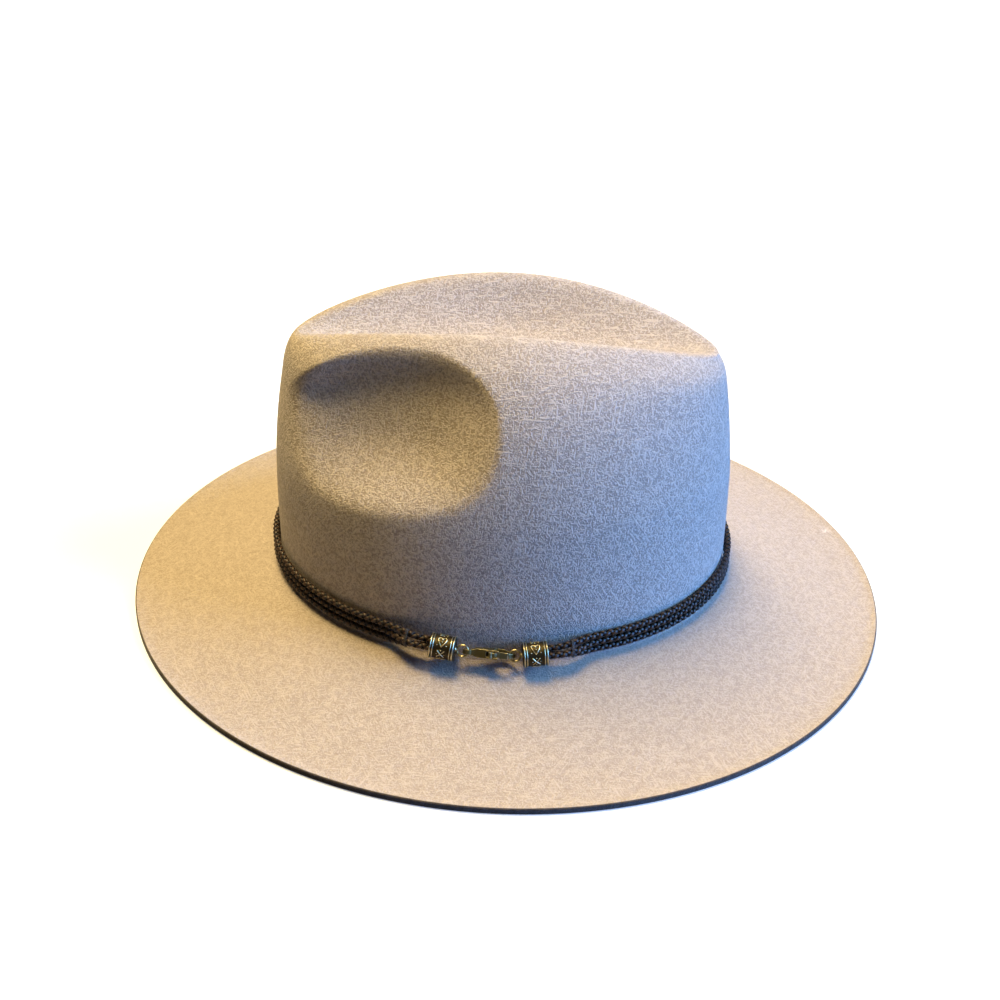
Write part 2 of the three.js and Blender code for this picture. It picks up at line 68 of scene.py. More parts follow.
# %% Camera
from mathutils import Matrix, Vector

VIEW_AZIMUTH = math.radians(90)
VIEW_ELEVATION = math.radians(32.6)
VIEW_ROLL = math.radians(2.14)
VIEW_DISTANCE = 0.600
VIEW_TARGET = Vector((0.0, -0.00464, 0.04146))
VIEW_LENS = 47.3  # millimetres, on a sensor 36 mm wide


def aim_camera():
    """Puts the camera on a sphere round the target and rolls it about its own line of sight."""
    sin_a, cos_a = math.sin(VIEW_AZIMUTH), math.cos(VIEW_AZIMUTH)
    sin_e, cos_e = math.sin(VIEW_ELEVATION), math.cos(VIEW_ELEVATION)
    back = Vector((sin_a * cos_e, -cos_a * cos_e, sin_e))
    level = Vector((cos_a, sin_a, 0.0))
    up = back.cross(level)
    right = level * math.cos(VIEW_ROLL) + up * math.sin(VIEW_ROLL)
    top = up * math.cos(VIEW_ROLL) - level * math.sin(VIEW_ROLL)
    data = bpy.data.cameras.new("camera")
    data.lens = VIEW_LENS
    data.sensor_width = 36
    data.clip_start = 0.01
    camera = bpy.data.objects.new("camera", data)
    bpy.context.scene.collection.objects.link(camera)
    turn = Matrix((right, top, back)).transposed().to_4x4()
    camera.matrix_world = Matrix.Translation(VIEW_TARGET + back * VIEW_DISTANCE) @ turn
    return camera


bpy.context.scene.camera = aim_camera()
print("camera at", [round(x, 3) for x in bpy.context.scene.camera.location])

# %% [markdown]
# ## Floor and light
#
# The hat stands on a plain pale floor under soft light. Felt has no gloss, so its form shows
# only where the light falls off. Warm light from overhead, one lamp wide and one narrow,
# lights the brim and the ridges, only grazes the crown's side and draws the band's shadow.
# Cool light, low behind the hat, tints the shade blue, as daylight from a window does. Panels
# close by would leave the far floor dark, so all are sun lamps: even to the horizon, and as
# soft as the angle they fill. The floor throws back less light than it shows, so that the
# shade under the brim stays deep, and it glows a little, so that the hat's shade on it is pale.

# %% Floor, lights and sky
FLOOR_RADIUS = 12.0
FLOOR_SIDES = 96
FLOOR_SEEN = 0.80
FLOOR_GLOW = 0.30
FLOOR_BOUNCE = 0.12
SKY_COLOUR = (0.93, 0.96, 1.0, 1)
SKY_LIGHT = 0.02
SKY_SEEN = 0.93
# towards: from the hat to the lamp; soft: the angle that the lamp fills, in degrees
LAMPS = [
    dict(name="warm", towards=(-0.40, -0.25, 1.00), soft=30, power=3.8, colour=(1.0, 0.80, 0.43)),
    dict(name="top", towards=(-0.10, -0.10, 1.00), soft=18, power=2.4, colour=(1.0, 0.78, 0.34)),
    dict(name="window", towards=(0.10, 1.00, 0.50), soft=40, power=3.5, colour=(0.25, 0.60, 1.0)),
    dict(name="cool", towards=(0.15, 1.00, 0.20), soft=40, power=5.4, colour=(0.07, 0.24, 1.0)),
]


def add_lamp(lamp):
    data = bpy.data.lights.new(lamp["name"] + " light", "SUN")
    data.energy = lamp["power"]
    data.angle = math.radians(lamp["soft"])
    data.color = lamp["colour"]
    light = bpy.data.objects.new(lamp["name"] + " light", data)
    light.rotation_euler = Vector(lamp["towards"]).to_track_quat("Z", "Y").to_euler()
    bpy.context.scene.collection.objects.link(light)


def as_seen(tree, socket, unseen, seen):
    """Gives a socket one value where the camera looks and another for light that bounces."""
    path = tree.nodes.new("ShaderNodeLightPath")
    level = tree.nodes.new("ShaderNodeMapRange")
    level.inputs["To Min"].default_value = unseen
    level.inputs["To Max"].default_value = seen
    tree.links.new(path.outputs["Is Camera Ray"], level.inputs["Value"])
    tree.links.new(level.outputs["Result"], socket)


def add_floor():
    """A flat disc at height zero, wide enough to reach the horizon of every view."""
    angle = np.linspace(0, 2 * np.pi, FLOOR_SIDES, endpoint=False)
    rim = np.column_stack([np.cos(angle), np.sin(angle), np.zeros(FLOOR_SIDES)]) * FLOOR_RADIUS
    mesh = bpy.data.meshes.new("floor")
    mesh.from_pydata(rim.tolist(), [], [list(range(FLOOR_SIDES))])
    material = bpy.data.materials.new("pale floor")
    material.use_nodes = True
    shader = material.node_tree.nodes["Principled BSDF"]
    shader.inputs["Roughness"].default_value = 0.9
    shader.inputs["Emission Strength"].default_value = 1.0
    as_seen(material.node_tree, shader.inputs["Base Color"], FLOOR_BOUNCE, FLOOR_SEEN)
    as_seen(material.node_tree, shader.inputs["Emission Color"], 0.0, FLOOR_GLOW)
    mesh.materials.append(material)
    floor = bpy.data.objects.new("floor", mesh)
    bpy.context.scene.collection.objects.link(floor)


def make_sky():
    """An even sky: faint as a light, pale where the camera sees it behind the floor."""
    world = bpy.data.worlds.new("sky")
    world.use_nodes = True
    background = world.node_tree.nodes["Background"]
    background.inputs["Color"].default_value = SKY_COLOUR
    as_seen(world.node_tree, background.inputs["Strength"], SKY_LIGHT, SKY_SEEN)
    bpy.context.scene.world = world


add_floor()
make_sky()
for lamp in LAMPS:
    add_lamp(lamp)
bpy.context.scene.view_settings.view_transform = "Standard"

# %% [markdown]
# ## From arrays to meshes
#
# Every shape below is a stack of rings: row after row of points, each row closed on itself.
# Between two rings lie quads, and a fan of triangles closes each end. Writing the arrays
# straight into the mesh with foreach_set is hundreds of times quicker than adding faces one
# by one. The sign of the enclosed volume tells whether the faces look outwards, so a skin
# that comes out inside out is simply turned.

# %% Mesh helpers
def ring_faces(rings, sides):
    """Corner numbers of the quads between consecutive rings, as an array of four columns."""
    row, side = np.meshgrid(np.arange(rings - 1), np.arange(sides), indexing="ij")
    beside = (side + 1) % sides
    corners = [row * sides + side, row * sides + beside,
               (row + 1) * sides + beside, (row + 1) * sides + side]
    return np.stack([c.ravel() for c in corners], axis=1)


def skin_arrays(grid, first=None, last=None, looped=False):
    """Points, quads and triangles of a closed skin: a grid of rings and a point at each end.

    grid has the shape (rings, sides, 3). An end without a point gets the mean of its ring. A
    looped grid has no ends: its last ring joins its first, as on a torus.
    """
    rings, sides = grid.shape[:2]
    points = grid.reshape(-1, 3)
    if looped:
        quads = ring_faces(rings + 1, sides) % (rings * sides)
        fans = np.zeros((0, 3), int)
    else:
        first = grid[0].mean(axis=0) if first is None else first
        last = grid[-1].mean(axis=0) if last is None else last
        points = np.concatenate([points, [first], [last]])
        quads = ring_faces(rings, sides)
        side = np.arange(sides)
        beside = (side + 1) % sides
        start, end = rings * sides, rings * sides + 1
        top = (rings - 1) * sides
        fans = np.concatenate([
            np.stack([beside, side, np.full(sides, start)], axis=1),
            np.stack([top + side, top + beside, np.full(sides, end)], axis=1),
        ])
    corners = points[np.concatenate([quads[:, :3], quads[:, [0, 2, 3]], fans])]
    volume = np.einsum("ij,ij->i", corners[:, 0], np.cross(corners[:, 1], corners[:, 2])).sum()
    if volume < 0:
        quads, fans = quads[:, ::-1], fans[:, ::-1]
    return points, quads, fans


def make_piece(name, skins, body="hat"):
    """One object from closed skins (points in millimetres), smooth, riding on its body."""
    offset = 0
    points, corners, sizes = [], [], []
    for skin_points, quads, fans in skins:
        points.append(skin_points)
        corners += [(quads + offset).ravel(), (fans + offset).ravel()]
        sizes += [np.full(len(quads), 4), np.full(len(fans), 3)]
        offset += len(skin_points)
    points, corners, sizes = (np.concatenate(x) for x in (points, corners, sizes))
    mesh = bpy.data.meshes.new(name)
    mesh.vertices.add(len(points))
    mesh.vertices.foreach_set("co", (points * MM).astype(np.float32).ravel())
    mesh.loops.add(len(corners))
    mesh.loops.foreach_set("vertex_index", corners.astype(np.int32))
    mesh.polygons.add(len(sizes))
    starts = np.concatenate([[0], np.cumsum(sizes)[:-1]])
    mesh.polygons.foreach_set("loop_start", starts.astype(np.int32))
    mesh.update(calc_edges=True)
    mesh.shade_smooth()
    piece = bpy.data.objects.new(name, mesh)
    bpy.context.scene.collection.objects.link(piece)
    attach(piece, body)
    triangles = int((sizes - 2).sum())
    print(f"{name}: {len(points)} points, {triangles} triangles")
    return piece


def write_attribute(mesh, name, values):
    """A number for each point of the mesh, which a material can read by its name."""
    attribute = mesh.attributes.new(name, "FLOAT", "POINT")
    attribute.data.foreach_set("value", np.asarray(values, np.float32))


def unit(vectors):
    """Vectors divided by their lengths."""
    return vectors / np.linalg.norm(vectors, axis=-1, keepdims=True)


def smooth_step(share):
    """0 below 0, 1 above 1, and the soft S curve 3s^2 - 2s^3 in between."""
    s = np.clip(share, 0, 1)
    return s * s * (3 - 2 * s)


def mix(a, b, share):
    """The straight blend from a to b."""
    return a + (b - a) * share


# %% [markdown]
# ## The felt: sizes and sections
#
# Seen from above a blocked hat is three ovals, one inside the other: the brim's edge, the
# head opening and the ridge round the top dent. Between them its section is one soft curve.
# The tables hold that curve as shares of the named sizes, at the front, the side and the
# back of the hat. Lofting through many drawn sections would work as well, but three columns
# blended round the hat keep it smooth everywhere.

# %% Felt sizes, in millimetres
high_corner = np.array(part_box("felt_body")[1]) / MM
BRIM_HALF_WIDTH, BRIM_HALF_LENGTH = high_corner[:2]
FELT_THICKNESS = 3.0
BRIM_RISE = 15.5
BREAK_RADIUS = 3.4
HEAD_HALF_LENGTH = 101.7
HEAD_HALF_WIDTH = 85.4
HEAD_SHIFT = -3.0
FOOT = FELT_THICKNESS + BRIM_RISE
RIDGE_HEIGHT = high_corner[2] - FOOT
RIDGE_HALF_LENGTH = 88.0
RIDGE_HALF_WIDTH = 33.0
RIDGE_SHIFT = -4.0
RIDGE_TAPER = 0.08
RIDGE_NIP = 0.32
RIDGE_LEAN = 1.0
RIDGE_DROOP = 16.5
DENT_DEPTH = 18.0
PINCH_DEPTH = 19.0
PINCH_FORWARD = 50.0
PINCH_REACH_FRONT = 47.0
PINCH_REACH_BACK = 45.0
PINCH_DROP = 31.0
PINCH_REACH_UP = 29.0
PINCH_REACH_DOWN = 28.0
PINCH_SQUARENESS = 2.5
PINCH_SOFT_BELOW = 1.8
PINCH_SOFT_ABOVE = 1.1

# out: share of the brim's width beyond the crown, rise: share of the brim's rise
BRIM_SECTION = [
    dict(out=1.00, rise=0.00),
    dict(out=0.93, rise=0.00),
    dict(out=0.75, rise=0.14),
    dict(out=0.50, rise=0.40),
    dict(out=0.25, rise=0.69),
]
# up: share of the crown's height; the others: share of the way in to the ridge
WALL_SECTION = [
    dict(up=0.12, front=0.00, side=0.01, back=0.02),
    dict(up=0.30, front=0.00, side=0.06, back=0.07),
    dict(up=0.50, front=0.04, side=0.15, back=0.15),
    dict(up=0.68, front=0.17, side=0.30, back=0.31),
    dict(up=0.82, front=0.34, side=0.48, back=0.47),
    dict(up=0.92, front=0.49, side=0.68, back=0.62),
    dict(up=0.98, front=0.72, side=0.88, back=0.84),
    dict(up=1.00, front=1.00, side=1.00, back=1.00),
]
# out: share of the ridge outline; the others: share of the climb from floor to ridge
DENT_SECTION = [
    dict(out=0.86, front=0.84, side=0.92, back=0.84),
    dict(out=0.66, front=0.52, side=0.60, back=0.52),
    dict(out=0.42, front=0.20, side=0.25, back=0.20),
    dict(out=0.20, front=0.04, side=0.06, back=0.04),
]
BREAK_ROW = len(BRIM_SECTION) + 2
RIDGE_ROW = BREAK_ROW + len(WALL_SECTION)
LAST_ROW = RIDGE_ROW + len(DENT_SECTION) + 1
print(f"felt rows: break {BREAK_ROW}, ridge {RIDGE_ROW}, middle of the dent {LAST_ROW}")


# %% The felt's outer face as a function of angle and row
def on_oval(angle, half_width, half_length, shift):
    """x = half_width sin(angle), y = shift - half_length cos(angle): 0 is the hat's front."""
    return np.stack([half_width * np.sin(angle), shift - half_length * np.cos(angle)], axis=-1)


def ridge_outline(angle):
    """The ridge oval, narrowed by 1 - taper cos - nip cos^2, so that it is a teardrop."""
    c = np.cos(angle)
    width = RIDGE_HALF_WIDTH * (1 - RIDGE_TAPER * c - RIDGE_NIP * c * c)
    return on_oval(angle, width, RIDGE_HALF_LENGTH, RIDGE_SHIFT)


def ridge_level(angle):
    """The ridge's height: highest at the sides, drooping with cos^2 to the front and back."""
    c = np.cos(angle)
    return FOOT + RIDGE_HEIGHT + RIDGE_LEAN * c - RIDGE_DROOP * c * c


def around(row, angle):
    """A table row's value: its side column, blended by cos^2 towards its front or back."""
    c = np.cos(angle)
    return mix(row["side"], np.where(c > 0, row["front"], row["back"]), c * c)


def section_points(angle):
    """The points that the felt's section passes through, an array (rows, angles, 3)."""
    brim = on_oval(angle, BRIM_HALF_WIDTH, BRIM_HALF_LENGTH, 0)
    head = on_oval(angle, HEAD_HALF_WIDTH, HEAD_HALF_LENGTH, HEAD_SHIFT)
    ridge = ridge_outline(angle)
    ridge_z = ridge_level(angle)
    floor_z = FOOT + RIDGE_HEIGHT - DENT_DEPTH
    middle = np.broadcast_to([0.0, RIDGE_SHIFT], ridge.shape)
    rows = []

    def add(plan, height):
        rows.append(np.concatenate([plan, np.broadcast_to(height, angle.shape)[:, None]], axis=1))

    for row in BRIM_SECTION:
        add(mix(head, brim, row["out"]), FELT_THICKNESS + BRIM_RISE * row["rise"])
    width = np.linalg.norm(brim - head, axis=1)
    slope = BRIM_RISE / width
    corner = BREAK_RADIUS * (1 - math.sqrt(0.5))
    add(mix(head, brim, (BREAK_RADIUS / width)[:, None]), FOOT - BREAK_RADIUS * slope)
    add(mix(head, brim, (corner / width)[:, None]), FOOT + corner - BREAK_RADIUS * slope / 2)
    add(head, FOOT + BREAK_RADIUS)
    for row in WALL_SECTION:
        add(mix(head, ridge, around(row, angle)[:, None]), mix(FOOT, ridge_z, row["up"]))
    for row in DENT_SECTION:
        add(mix(middle, ridge, row["out"]), mix(floor_z, ridge_z, around(row, angle)))
    add(middle, floor_z)
    return np.stack(rows)


def catmull_rom(points, place):
    """The uniform Catmull-Rom curve: cubic Hermite pieces whose slope at each point is half
    the step between its two neighbours. place counts points, one for each column."""
    ghosts = 2 * points[[0, -1]] - points[[1, -2]]
    p = np.concatenate([ghosts[:1], points, ghosts[1:]])
    i = np.clip(np.floor(place).astype(int), 0, len(points) - 2)
    w = (place - i)[:, None]
    column = np.arange(points.shape[1])
    before, start, end, after = (p[i + k, column] for k in range(4))
    leave, arrive = (end - before) / 2, (after - start) / 2
    return (start + leave * w + (3 * (end - start) - 2 * leave - arrive) * w**2
            + (2 * (start - end) + leave + arrive) * w**3)


def pinch(points, ridge_z):
    """How far the fingers pushed the felt in: depth (1 - distance)^softness, where distance is
    |along / reach|^squareness + |above / reach|^squareness from the middle of the hollow."""
    along = points[:, 1] + PINCH_FORWARD
    above = points[:, 2] - ridge_z + PINCH_DROP
    reach_along = np.where(along < 0, PINCH_REACH_FRONT, PINCH_REACH_BACK)
    reach_above = np.where(above > 0, PINCH_REACH_UP, PINCH_REACH_DOWN)
    distance = (np.abs(along / reach_along) ** PINCH_SQUARENESS
                + np.abs(above / reach_above) ** PINCH_SQUARENESS)
    nose = smooth_step(np.abs(points[:, 0]) / (2 * PINCH_DEPTH))
    softness = mix(PINCH_SOFT_BELOW, PINCH_SOFT_ABOVE, smooth_step(0.5 + above / PINCH_REACH_UP))
    return PINCH_DEPTH * nose * np.clip(1 - distance, 0, 1) ** softness


def felt_point(angle, row):
    """Point of the felt's outer face at each angle and row of two arrays of one length."""
    place = np.clip(row, 0, LAST_ROW)
    points = catmull_rom(section_points(angle), place)
    push = np.where(row < RIDGE_ROW, pinch(points, ridge_level(angle)), 0)
    points[:, 0] -= np.sign(points[:, 0]) * push
    return points


def felt_normal(angle, row, step=0.02):
    """Outward direction: the cross product of the two differences across the point."""
    along = felt_point(angle, row + step) - felt_point(angle, row - step)
    round_hat = felt_point(angle + step, row) - felt_point(angle - step, row)
    return unit(np.cross(round_hat, along))


# %% [markdown]
# ## The felt: one closed shell
#
# The real brim edge is cut with a knife: 3 mm of felt with only its corners softened. So the
# skin starts inside the crown, runs out under the brim, round the cut edge and back over the
# hat to the middle of the dent. A Solidify modifier could thicken a single sheet, but it
# would leave the edge square. Working out both faces lets the corners be rounded here.

# %% Felt shell
FELT_SIDES = 360
EDGE_STEPS = 5


def felt_rows():
    """Rows of the outer face: close together at the break and the ridge, wider on the brim."""
    return np.concatenate([
        np.linspace(0.15, 5, 44, endpoint=False),
        np.linspace(5, BREAK_ROW + 1, 20, endpoint=False),
        np.linspace(BREAK_ROW + 1, RIDGE_ROW - 1, 56, endpoint=False),
        np.linspace(RIDGE_ROW - 1, RIDGE_ROW + 1.5, 30, endpoint=False),
        np.linspace(RIDGE_ROW + 1.5, LAST_ROW - 0.12, 22),
    ])


def felt_faces(rows):
    """Outer and inner faces on a grid: the inner one lies a thickness along the normal."""
    angles = np.linspace(0, 2 * np.pi, FELT_SIDES, endpoint=False)
    row, angle = (x.ravel() for x in np.meshgrid(rows, angles, indexing="ij"))
    outer = felt_point(angle, row)
    normal = felt_normal(angle, row)
    normal[row <= 1] = (0, 0, 1)
    shape = (len(rows), FELT_SIDES, 3)
    return outer.reshape(shape), (outer - FELT_THICKNESS * normal).reshape(shape)


def cut_edge(top_ring, bottom_ring):
    """Two quarter circles, from the underside round to the top, and the flat cut between."""
    angles = np.linspace(0, 2 * np.pi, FELT_SIDES, endpoint=False)
    rim = on_oval(angles, BRIM_HALF_WIDTH, BRIM_HALF_LENGTH, 0)
    step = rim - top_ring[:, :2]
    radius = np.linalg.norm(step, axis=1)[:, None]
    out = np.concatenate([step / radius, np.zeros((FELT_SIDES, 1))], axis=1)
    up = np.array([0.0, 0.0, 1.0])
    turns = np.linspace(np.pi / 2, 0, EDGE_STEPS + 1)[1:]
    rings = []
    for turn in turns[::-1]:
        rings.append(bottom_ring + radius * (out * math.cos(turn) + up * (1 - math.sin(turn))))
    below = rings[::-1]
    above = [top_ring + radius * (out * math.cos(t) - up * (1 - math.sin(t))) for t in turns[::-1]]
    return np.stack(below), np.stack(above)


def felt_shell():
    rows = felt_rows()
    outer, inner = felt_faces(rows)
    coarse = inner[::2]
    below, above = cut_edge(outer[0], inner[0])
    grid = np.concatenate([coarse[::-1], below, above, outer])
    outer_pole = felt_point(np.zeros(1), np.full(1, float(LAST_ROW)))[0]
    inner_pole = outer_pole - [0, 0, FELT_THICKNESS]
    piece = make_piece("felt_hat", [skin_arrays(grid, inner_pole, outer_pole)])
    rings = len(coarse) + np.arange(len(below) + len(above))
    cut = np.zeros(len(grid))
    cut[rings] = 1
    # marks the rings of the cut edge, which the material paints dark as shade
    write_attribute(piece.data, "cut_edge", np.append(np.repeat(cut, FELT_SIDES), [0, 0]))
    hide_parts("felt_body")
    return piece


felt_hat = felt_shell()

# %% [markdown]
# ## Shared effects as node groups
#
# Felt, leather and cast brass all need broken-up colour and a fine relief. Each effect is a
# node group with named sockets, built once and placed in every material with its own values.
# Fibres: one noise drawn out along a direction gives streaks, and the same noise along several
# directions gives the criss-cross of short hairs on felt. Mottle: soft clouds. Spot: one small
# mark. All read the object's own coordinates, so they sit still when the hat is seen from
# elsewhere.

# %% Node group helpers
def new_group(name, inputs, outputs):
    """An empty shader node group with named sockets: (name, kind, default) for each input."""
    group = bpy.data.node_groups.new(name, "ShaderNodeTree")
    for title, kind, default in inputs:
        socket = group.interface.new_socket(title, in_out="INPUT", socket_type=kind)
        if default is not None:
            socket.default_value = default
    for title, kind in outputs:
        group.interface.new_socket(title, in_out="OUTPUT", socket_type=kind)
    return group, group.nodes.new("NodeGroupInput"), group.nodes.new("NodeGroupOutput")


def math_node(tree, operation, a, b=None, clamp=False):
    """A Math node: a and b are sockets or plain numbers. Gives back its output."""
    node = tree.nodes.new("ShaderNodeMath")
    node.operation = operation
    node.use_clamp = clamp
    for socket, value in zip(node.inputs, (a, b)):
        if value is None:
            continue
        if isinstance(value, bpy.types.NodeSocket):
            tree.links.new(value, socket)
        else:
            socket.default_value = value
    return node.outputs[0]


def smooth_range(tree, value, start, full, low=0.0, high=1.0):
    """A Map Range node: low at start, high at full, along the curve 3s^2 - 2s^3 between. start
    and full are sockets or plain numbers."""
    node = tree.nodes.new("ShaderNodeMapRange")
    node.interpolation_type = "SMOOTHSTEP"
    node.inputs["To Min"].default_value = low
    node.inputs["To Max"].default_value = high
    tree.links.new(value, node.inputs["Value"])
    for title, limit in (("From Min", start), ("From Max", full)):
        if isinstance(limit, bpy.types.NodeSocket):
            tree.links.new(limit, node.inputs[title])
        else:
            node.inputs[title].default_value = limit
    return node.outputs["Result"]


def mix_colour(tree, factor, a, b):
    """A Mix node on colours. factor, a and b are sockets or values."""
    node = tree.nodes.new("ShaderNodeMix")
    node.data_type = "RGBA"
    for socket, value in ((node.inputs[0], factor), (node.inputs[6], a), (node.inputs[7], b)):
        if isinstance(value, bpy.types.NodeSocket):
            tree.links.new(value, socket)
        else:
            socket.default_value = value
    return node.outputs[2]


# %% Fibre group
FIBRE_TURNS = [  # the directions that hairs run in: turned about X, then about Z, in degrees
    (90, 0), (90, 60), (90, 120), (35, 20), (35, 140), (35, 260),
]


def fibre_group():
    """Hairs: for each direction, the peaks (n - 0.57) sharpness, cut at 0 and 1, of a noise n on
    coordinates that are short across the hair and long along it. The strongest one wins."""
    group, given, result = new_group(
        "crossing fibres",
        [("Coordinates", "NodeSocketVector", None), ("Width", "NodeSocketFloat", 0.0004),
         ("Length", "NodeSocketFloat", 0.003), ("Sharpness", "NodeSocketFloat", 4.0)],
        [("Fibres", "NodeSocketFloat")],
    )
    links = group.links
    across = math_node(group, "DIVIDE", 1.0, given.outputs["Width"])
    along = math_node(group, "DIVIDE", 1.0, given.outputs["Length"])
    scale = group.nodes.new("ShaderNodeCombineXYZ")
    for socket, value in zip(scale.inputs, (across, across, along)):
        links.new(value, socket)
    strongest = None
    for number, (tip, turn) in enumerate(FIBRE_TURNS):
        mapping = group.nodes.new("ShaderNodeMapping")
        mapping.vector_type = "TEXTURE"
        mapping.inputs["Rotation"].default_value = (math.radians(tip), 0, math.radians(turn))
        mapping.inputs["Location"].default_value = (0.01 * number, 0.02 * number, 0)
        links.new(given.outputs["Coordinates"], mapping.inputs["Vector"])
        stretch = group.nodes.new("ShaderNodeVectorMath")
        stretch.operation = "MULTIPLY"
        links.new(mapping.outputs[0], stretch.inputs[0])
        links.new(scale.outputs[0], stretch.inputs[1])
        noise = group.nodes.new("ShaderNodeTexNoise")
        noise.inputs["Scale"].default_value = 1.0
        noise.inputs["Detail"].default_value = 1.0
        noise.inputs["Distortion"].default_value = 0.1
        links.new(stretch.outputs[0], noise.inputs["Vector"])
        peak = math_node(group, "SUBTRACT", noise.outputs["Fac"], 0.57)
        hair = math_node(group, "MULTIPLY", peak, given.outputs["Sharpness"], clamp=True)
        strongest = hair if strongest is None else math_node(group, "MAXIMUM", strongest, hair)
    links.new(strongest, result.inputs["Fibres"])
    return group


def mottle_group():
    """Soft clouds around 0.5: noise at one size, drawn towards the middle by its contrast."""
    group, given, result = new_group(
        "mottle",
        [("Coordinates", "NodeSocketVector", None), ("Size", "NodeSocketFloat", 0.01),
         ("Contrast", "NodeSocketFloat", 1.0)],
        [("Clouds", "NodeSocketFloat")],
    )
    noise = group.nodes.new("ShaderNodeTexNoise")
    noise.inputs["Detail"].default_value = 3.0
    group.links.new(given.outputs["Coordinates"], noise.inputs["Vector"])
    group.links.new(math_node(group, "DIVIDE", 1.0, given.outputs["Size"]), noise.inputs["Scale"])
    centred = math_node(group, "SUBTRACT", noise.outputs["Fac"], 0.5)
    spread = math_node(group, "MULTIPLY", centred, given.outputs["Contrast"])
    clouds = math_node(group, "ADD", spread, 0.5, clamp=True)
    group.links.new(clouds, result.inputs["Clouds"])
    return group


def spot_group():
    """A small round mark: 1 at Centre, down to 0 at Radius along the curve 3s^2 - 2s^3."""
    group, given, result = new_group(
        "spot",
        [("Coordinates", "NodeSocketVector", None), ("Centre", "NodeSocketVector", None),
         ("Radius", "NodeSocketFloat", 0.001)],
        [("Mark", "NodeSocketFloat")],
    )
    distance = group.nodes.new("ShaderNodeVectorMath")
    distance.operation = "DISTANCE"
    group.links.new(given.outputs["Coordinates"], distance.inputs[0])
    group.links.new(given.outputs["Centre"], distance.inputs[1])
    mark = smooth_range(group, distance.outputs["Value"], 0.0, given.outputs["Radius"], 1.0, 0.0)
    group.links.new(mark, result.inputs["Mark"])
    return group


FIBRES = fibre_group()
MOTTLE = mottle_group()
SPOT = spot_group()


def place_group(tree, group, coordinates, **values):
    """A group node in a material, fed with coordinates; values sets its sockets by name."""
    node = tree.nodes.new("ShaderNodeGroup")
    node.node_tree = group
    tree.links.new(coordinates, node.inputs["Coordinates"])
    for title, value in values.items():
        node.inputs[title].default_value = value
    return node.outputs[0]


def start_material(name):
    """A material with nodes: gives the tree, its shader and the object's coordinates."""
    material = bpy.data.materials.new(name)
    material.use_nodes = True
    tree = material.node_tree
    coordinates = tree.nodes.new("ShaderNodeTexCoord").outputs["Object"]
    return material, tree, tree.nodes["Principled BSDF"], coordinates


def add_bump(tree, shader, height, distance, strength=1.0):
    """A height in 0 to 1 pushes the shading normal: distance is its full height in metres."""
    bump = tree.nodes.new("ShaderNodeBump")
    bump.inputs["Strength"].default_value = strength
    bump.inputs["Distance"].default_value = distance
    tree.links.new(height, bump.inputs["Height"])
    tree.links.new(bump.outputs["Normal"], shader.inputs["Normal"])


print("node groups:", [g.name for g in bpy.data.node_groups])

# %% [markdown]
# ## The felt's finish
#
# Wool felt is a mat of short hairs that lie every way. From near, pale hairs cross over a
# darker ground; from farther off the colour is soft and cloudy. It never shines, but the
# hairs that stand up catch light at the outline, which Sheen gives. The pale hairs are painted
# stronger on the crown's side than on the brim, a painted highlight of grazing light on the hair
# tips, and the same share deepens the fibre relief there. Real hairs could be grown as a particle
# system, but a million of them would say little more than a fibre relief does.

# %% Felt material
GROUND_DARK = (0.36, 0.286, 0.230, 1)
GROUND_LIGHT = (0.43, 0.345, 0.280, 1)
HAIR_COLOUR = (0.78, 0.66, 0.55, 1)
HAIR_SHARE = 0.60
BRIM_HAIR_SHARE = 0.45  # share of the pale hair on the brim; the rest up the crown is painted highlight
FULL_HAIR_HEIGHT = 12  # millimetres above the crown's foot where all of the pale hair shows
# the cut edge's colours: painted shade on the edge that faces down and out
CUT_EDGE_SHADE_DARK = (0.060, 0.045, 0.038, 1)
CUT_EDGE_SHADE_LIGHT = (0.10, 0.078, 0.066, 1)
# dark of the speck on the brim, and painted shade in the pucker's dent
SPECK_AND_SHADE_DARK = (0.20, 0.15, 0.12, 1)
MARK_LIGHT = (0.85, 0.80, 0.76, 1)
# small marks: a pucker under the near ridge, a dent darkened with painted shade; a speck on the
# brim; a scuff by the brim's edge
PUCKER = dict(Centre=(0.0423, -0.0066, 0.1309), Radius=0.0016)
PUCKER_SHADE = 0.45
PUCKER_DEPTH = 2.5  # in heights of the felt's relief
SPECK = dict(Centre=(0.1224, -0.0223, 0.0082), Radius=0.0010)
SPECK_DARKNESS = 0.55
SCUFF = dict(Centre=(-0.0430, 0.1585, 0.0030), Radius=0.0040)


def read_attribute(tree, name):
    node = tree.nodes.new("ShaderNodeAttribute")
    node.attribute_name = name
    return node.outputs["Fac"]


def lit_hair_share(tree, coordinates):
    """Share of the pale hair: little on the brim, all of it on the crown, as a painted highlight
    of grazing light on the hair tips. The same share scales the hairs' relief.
    """
    parts = tree.nodes.new("ShaderNodeSeparateXYZ")
    tree.links.new(coordinates, parts.inputs[0])
    low, high = FOOT * MM, (FOOT + FULL_HAIR_HEIGHT) * MM
    return smooth_range(tree, parts.outputs["Z"], low, high, BRIM_HAIR_SHARE)


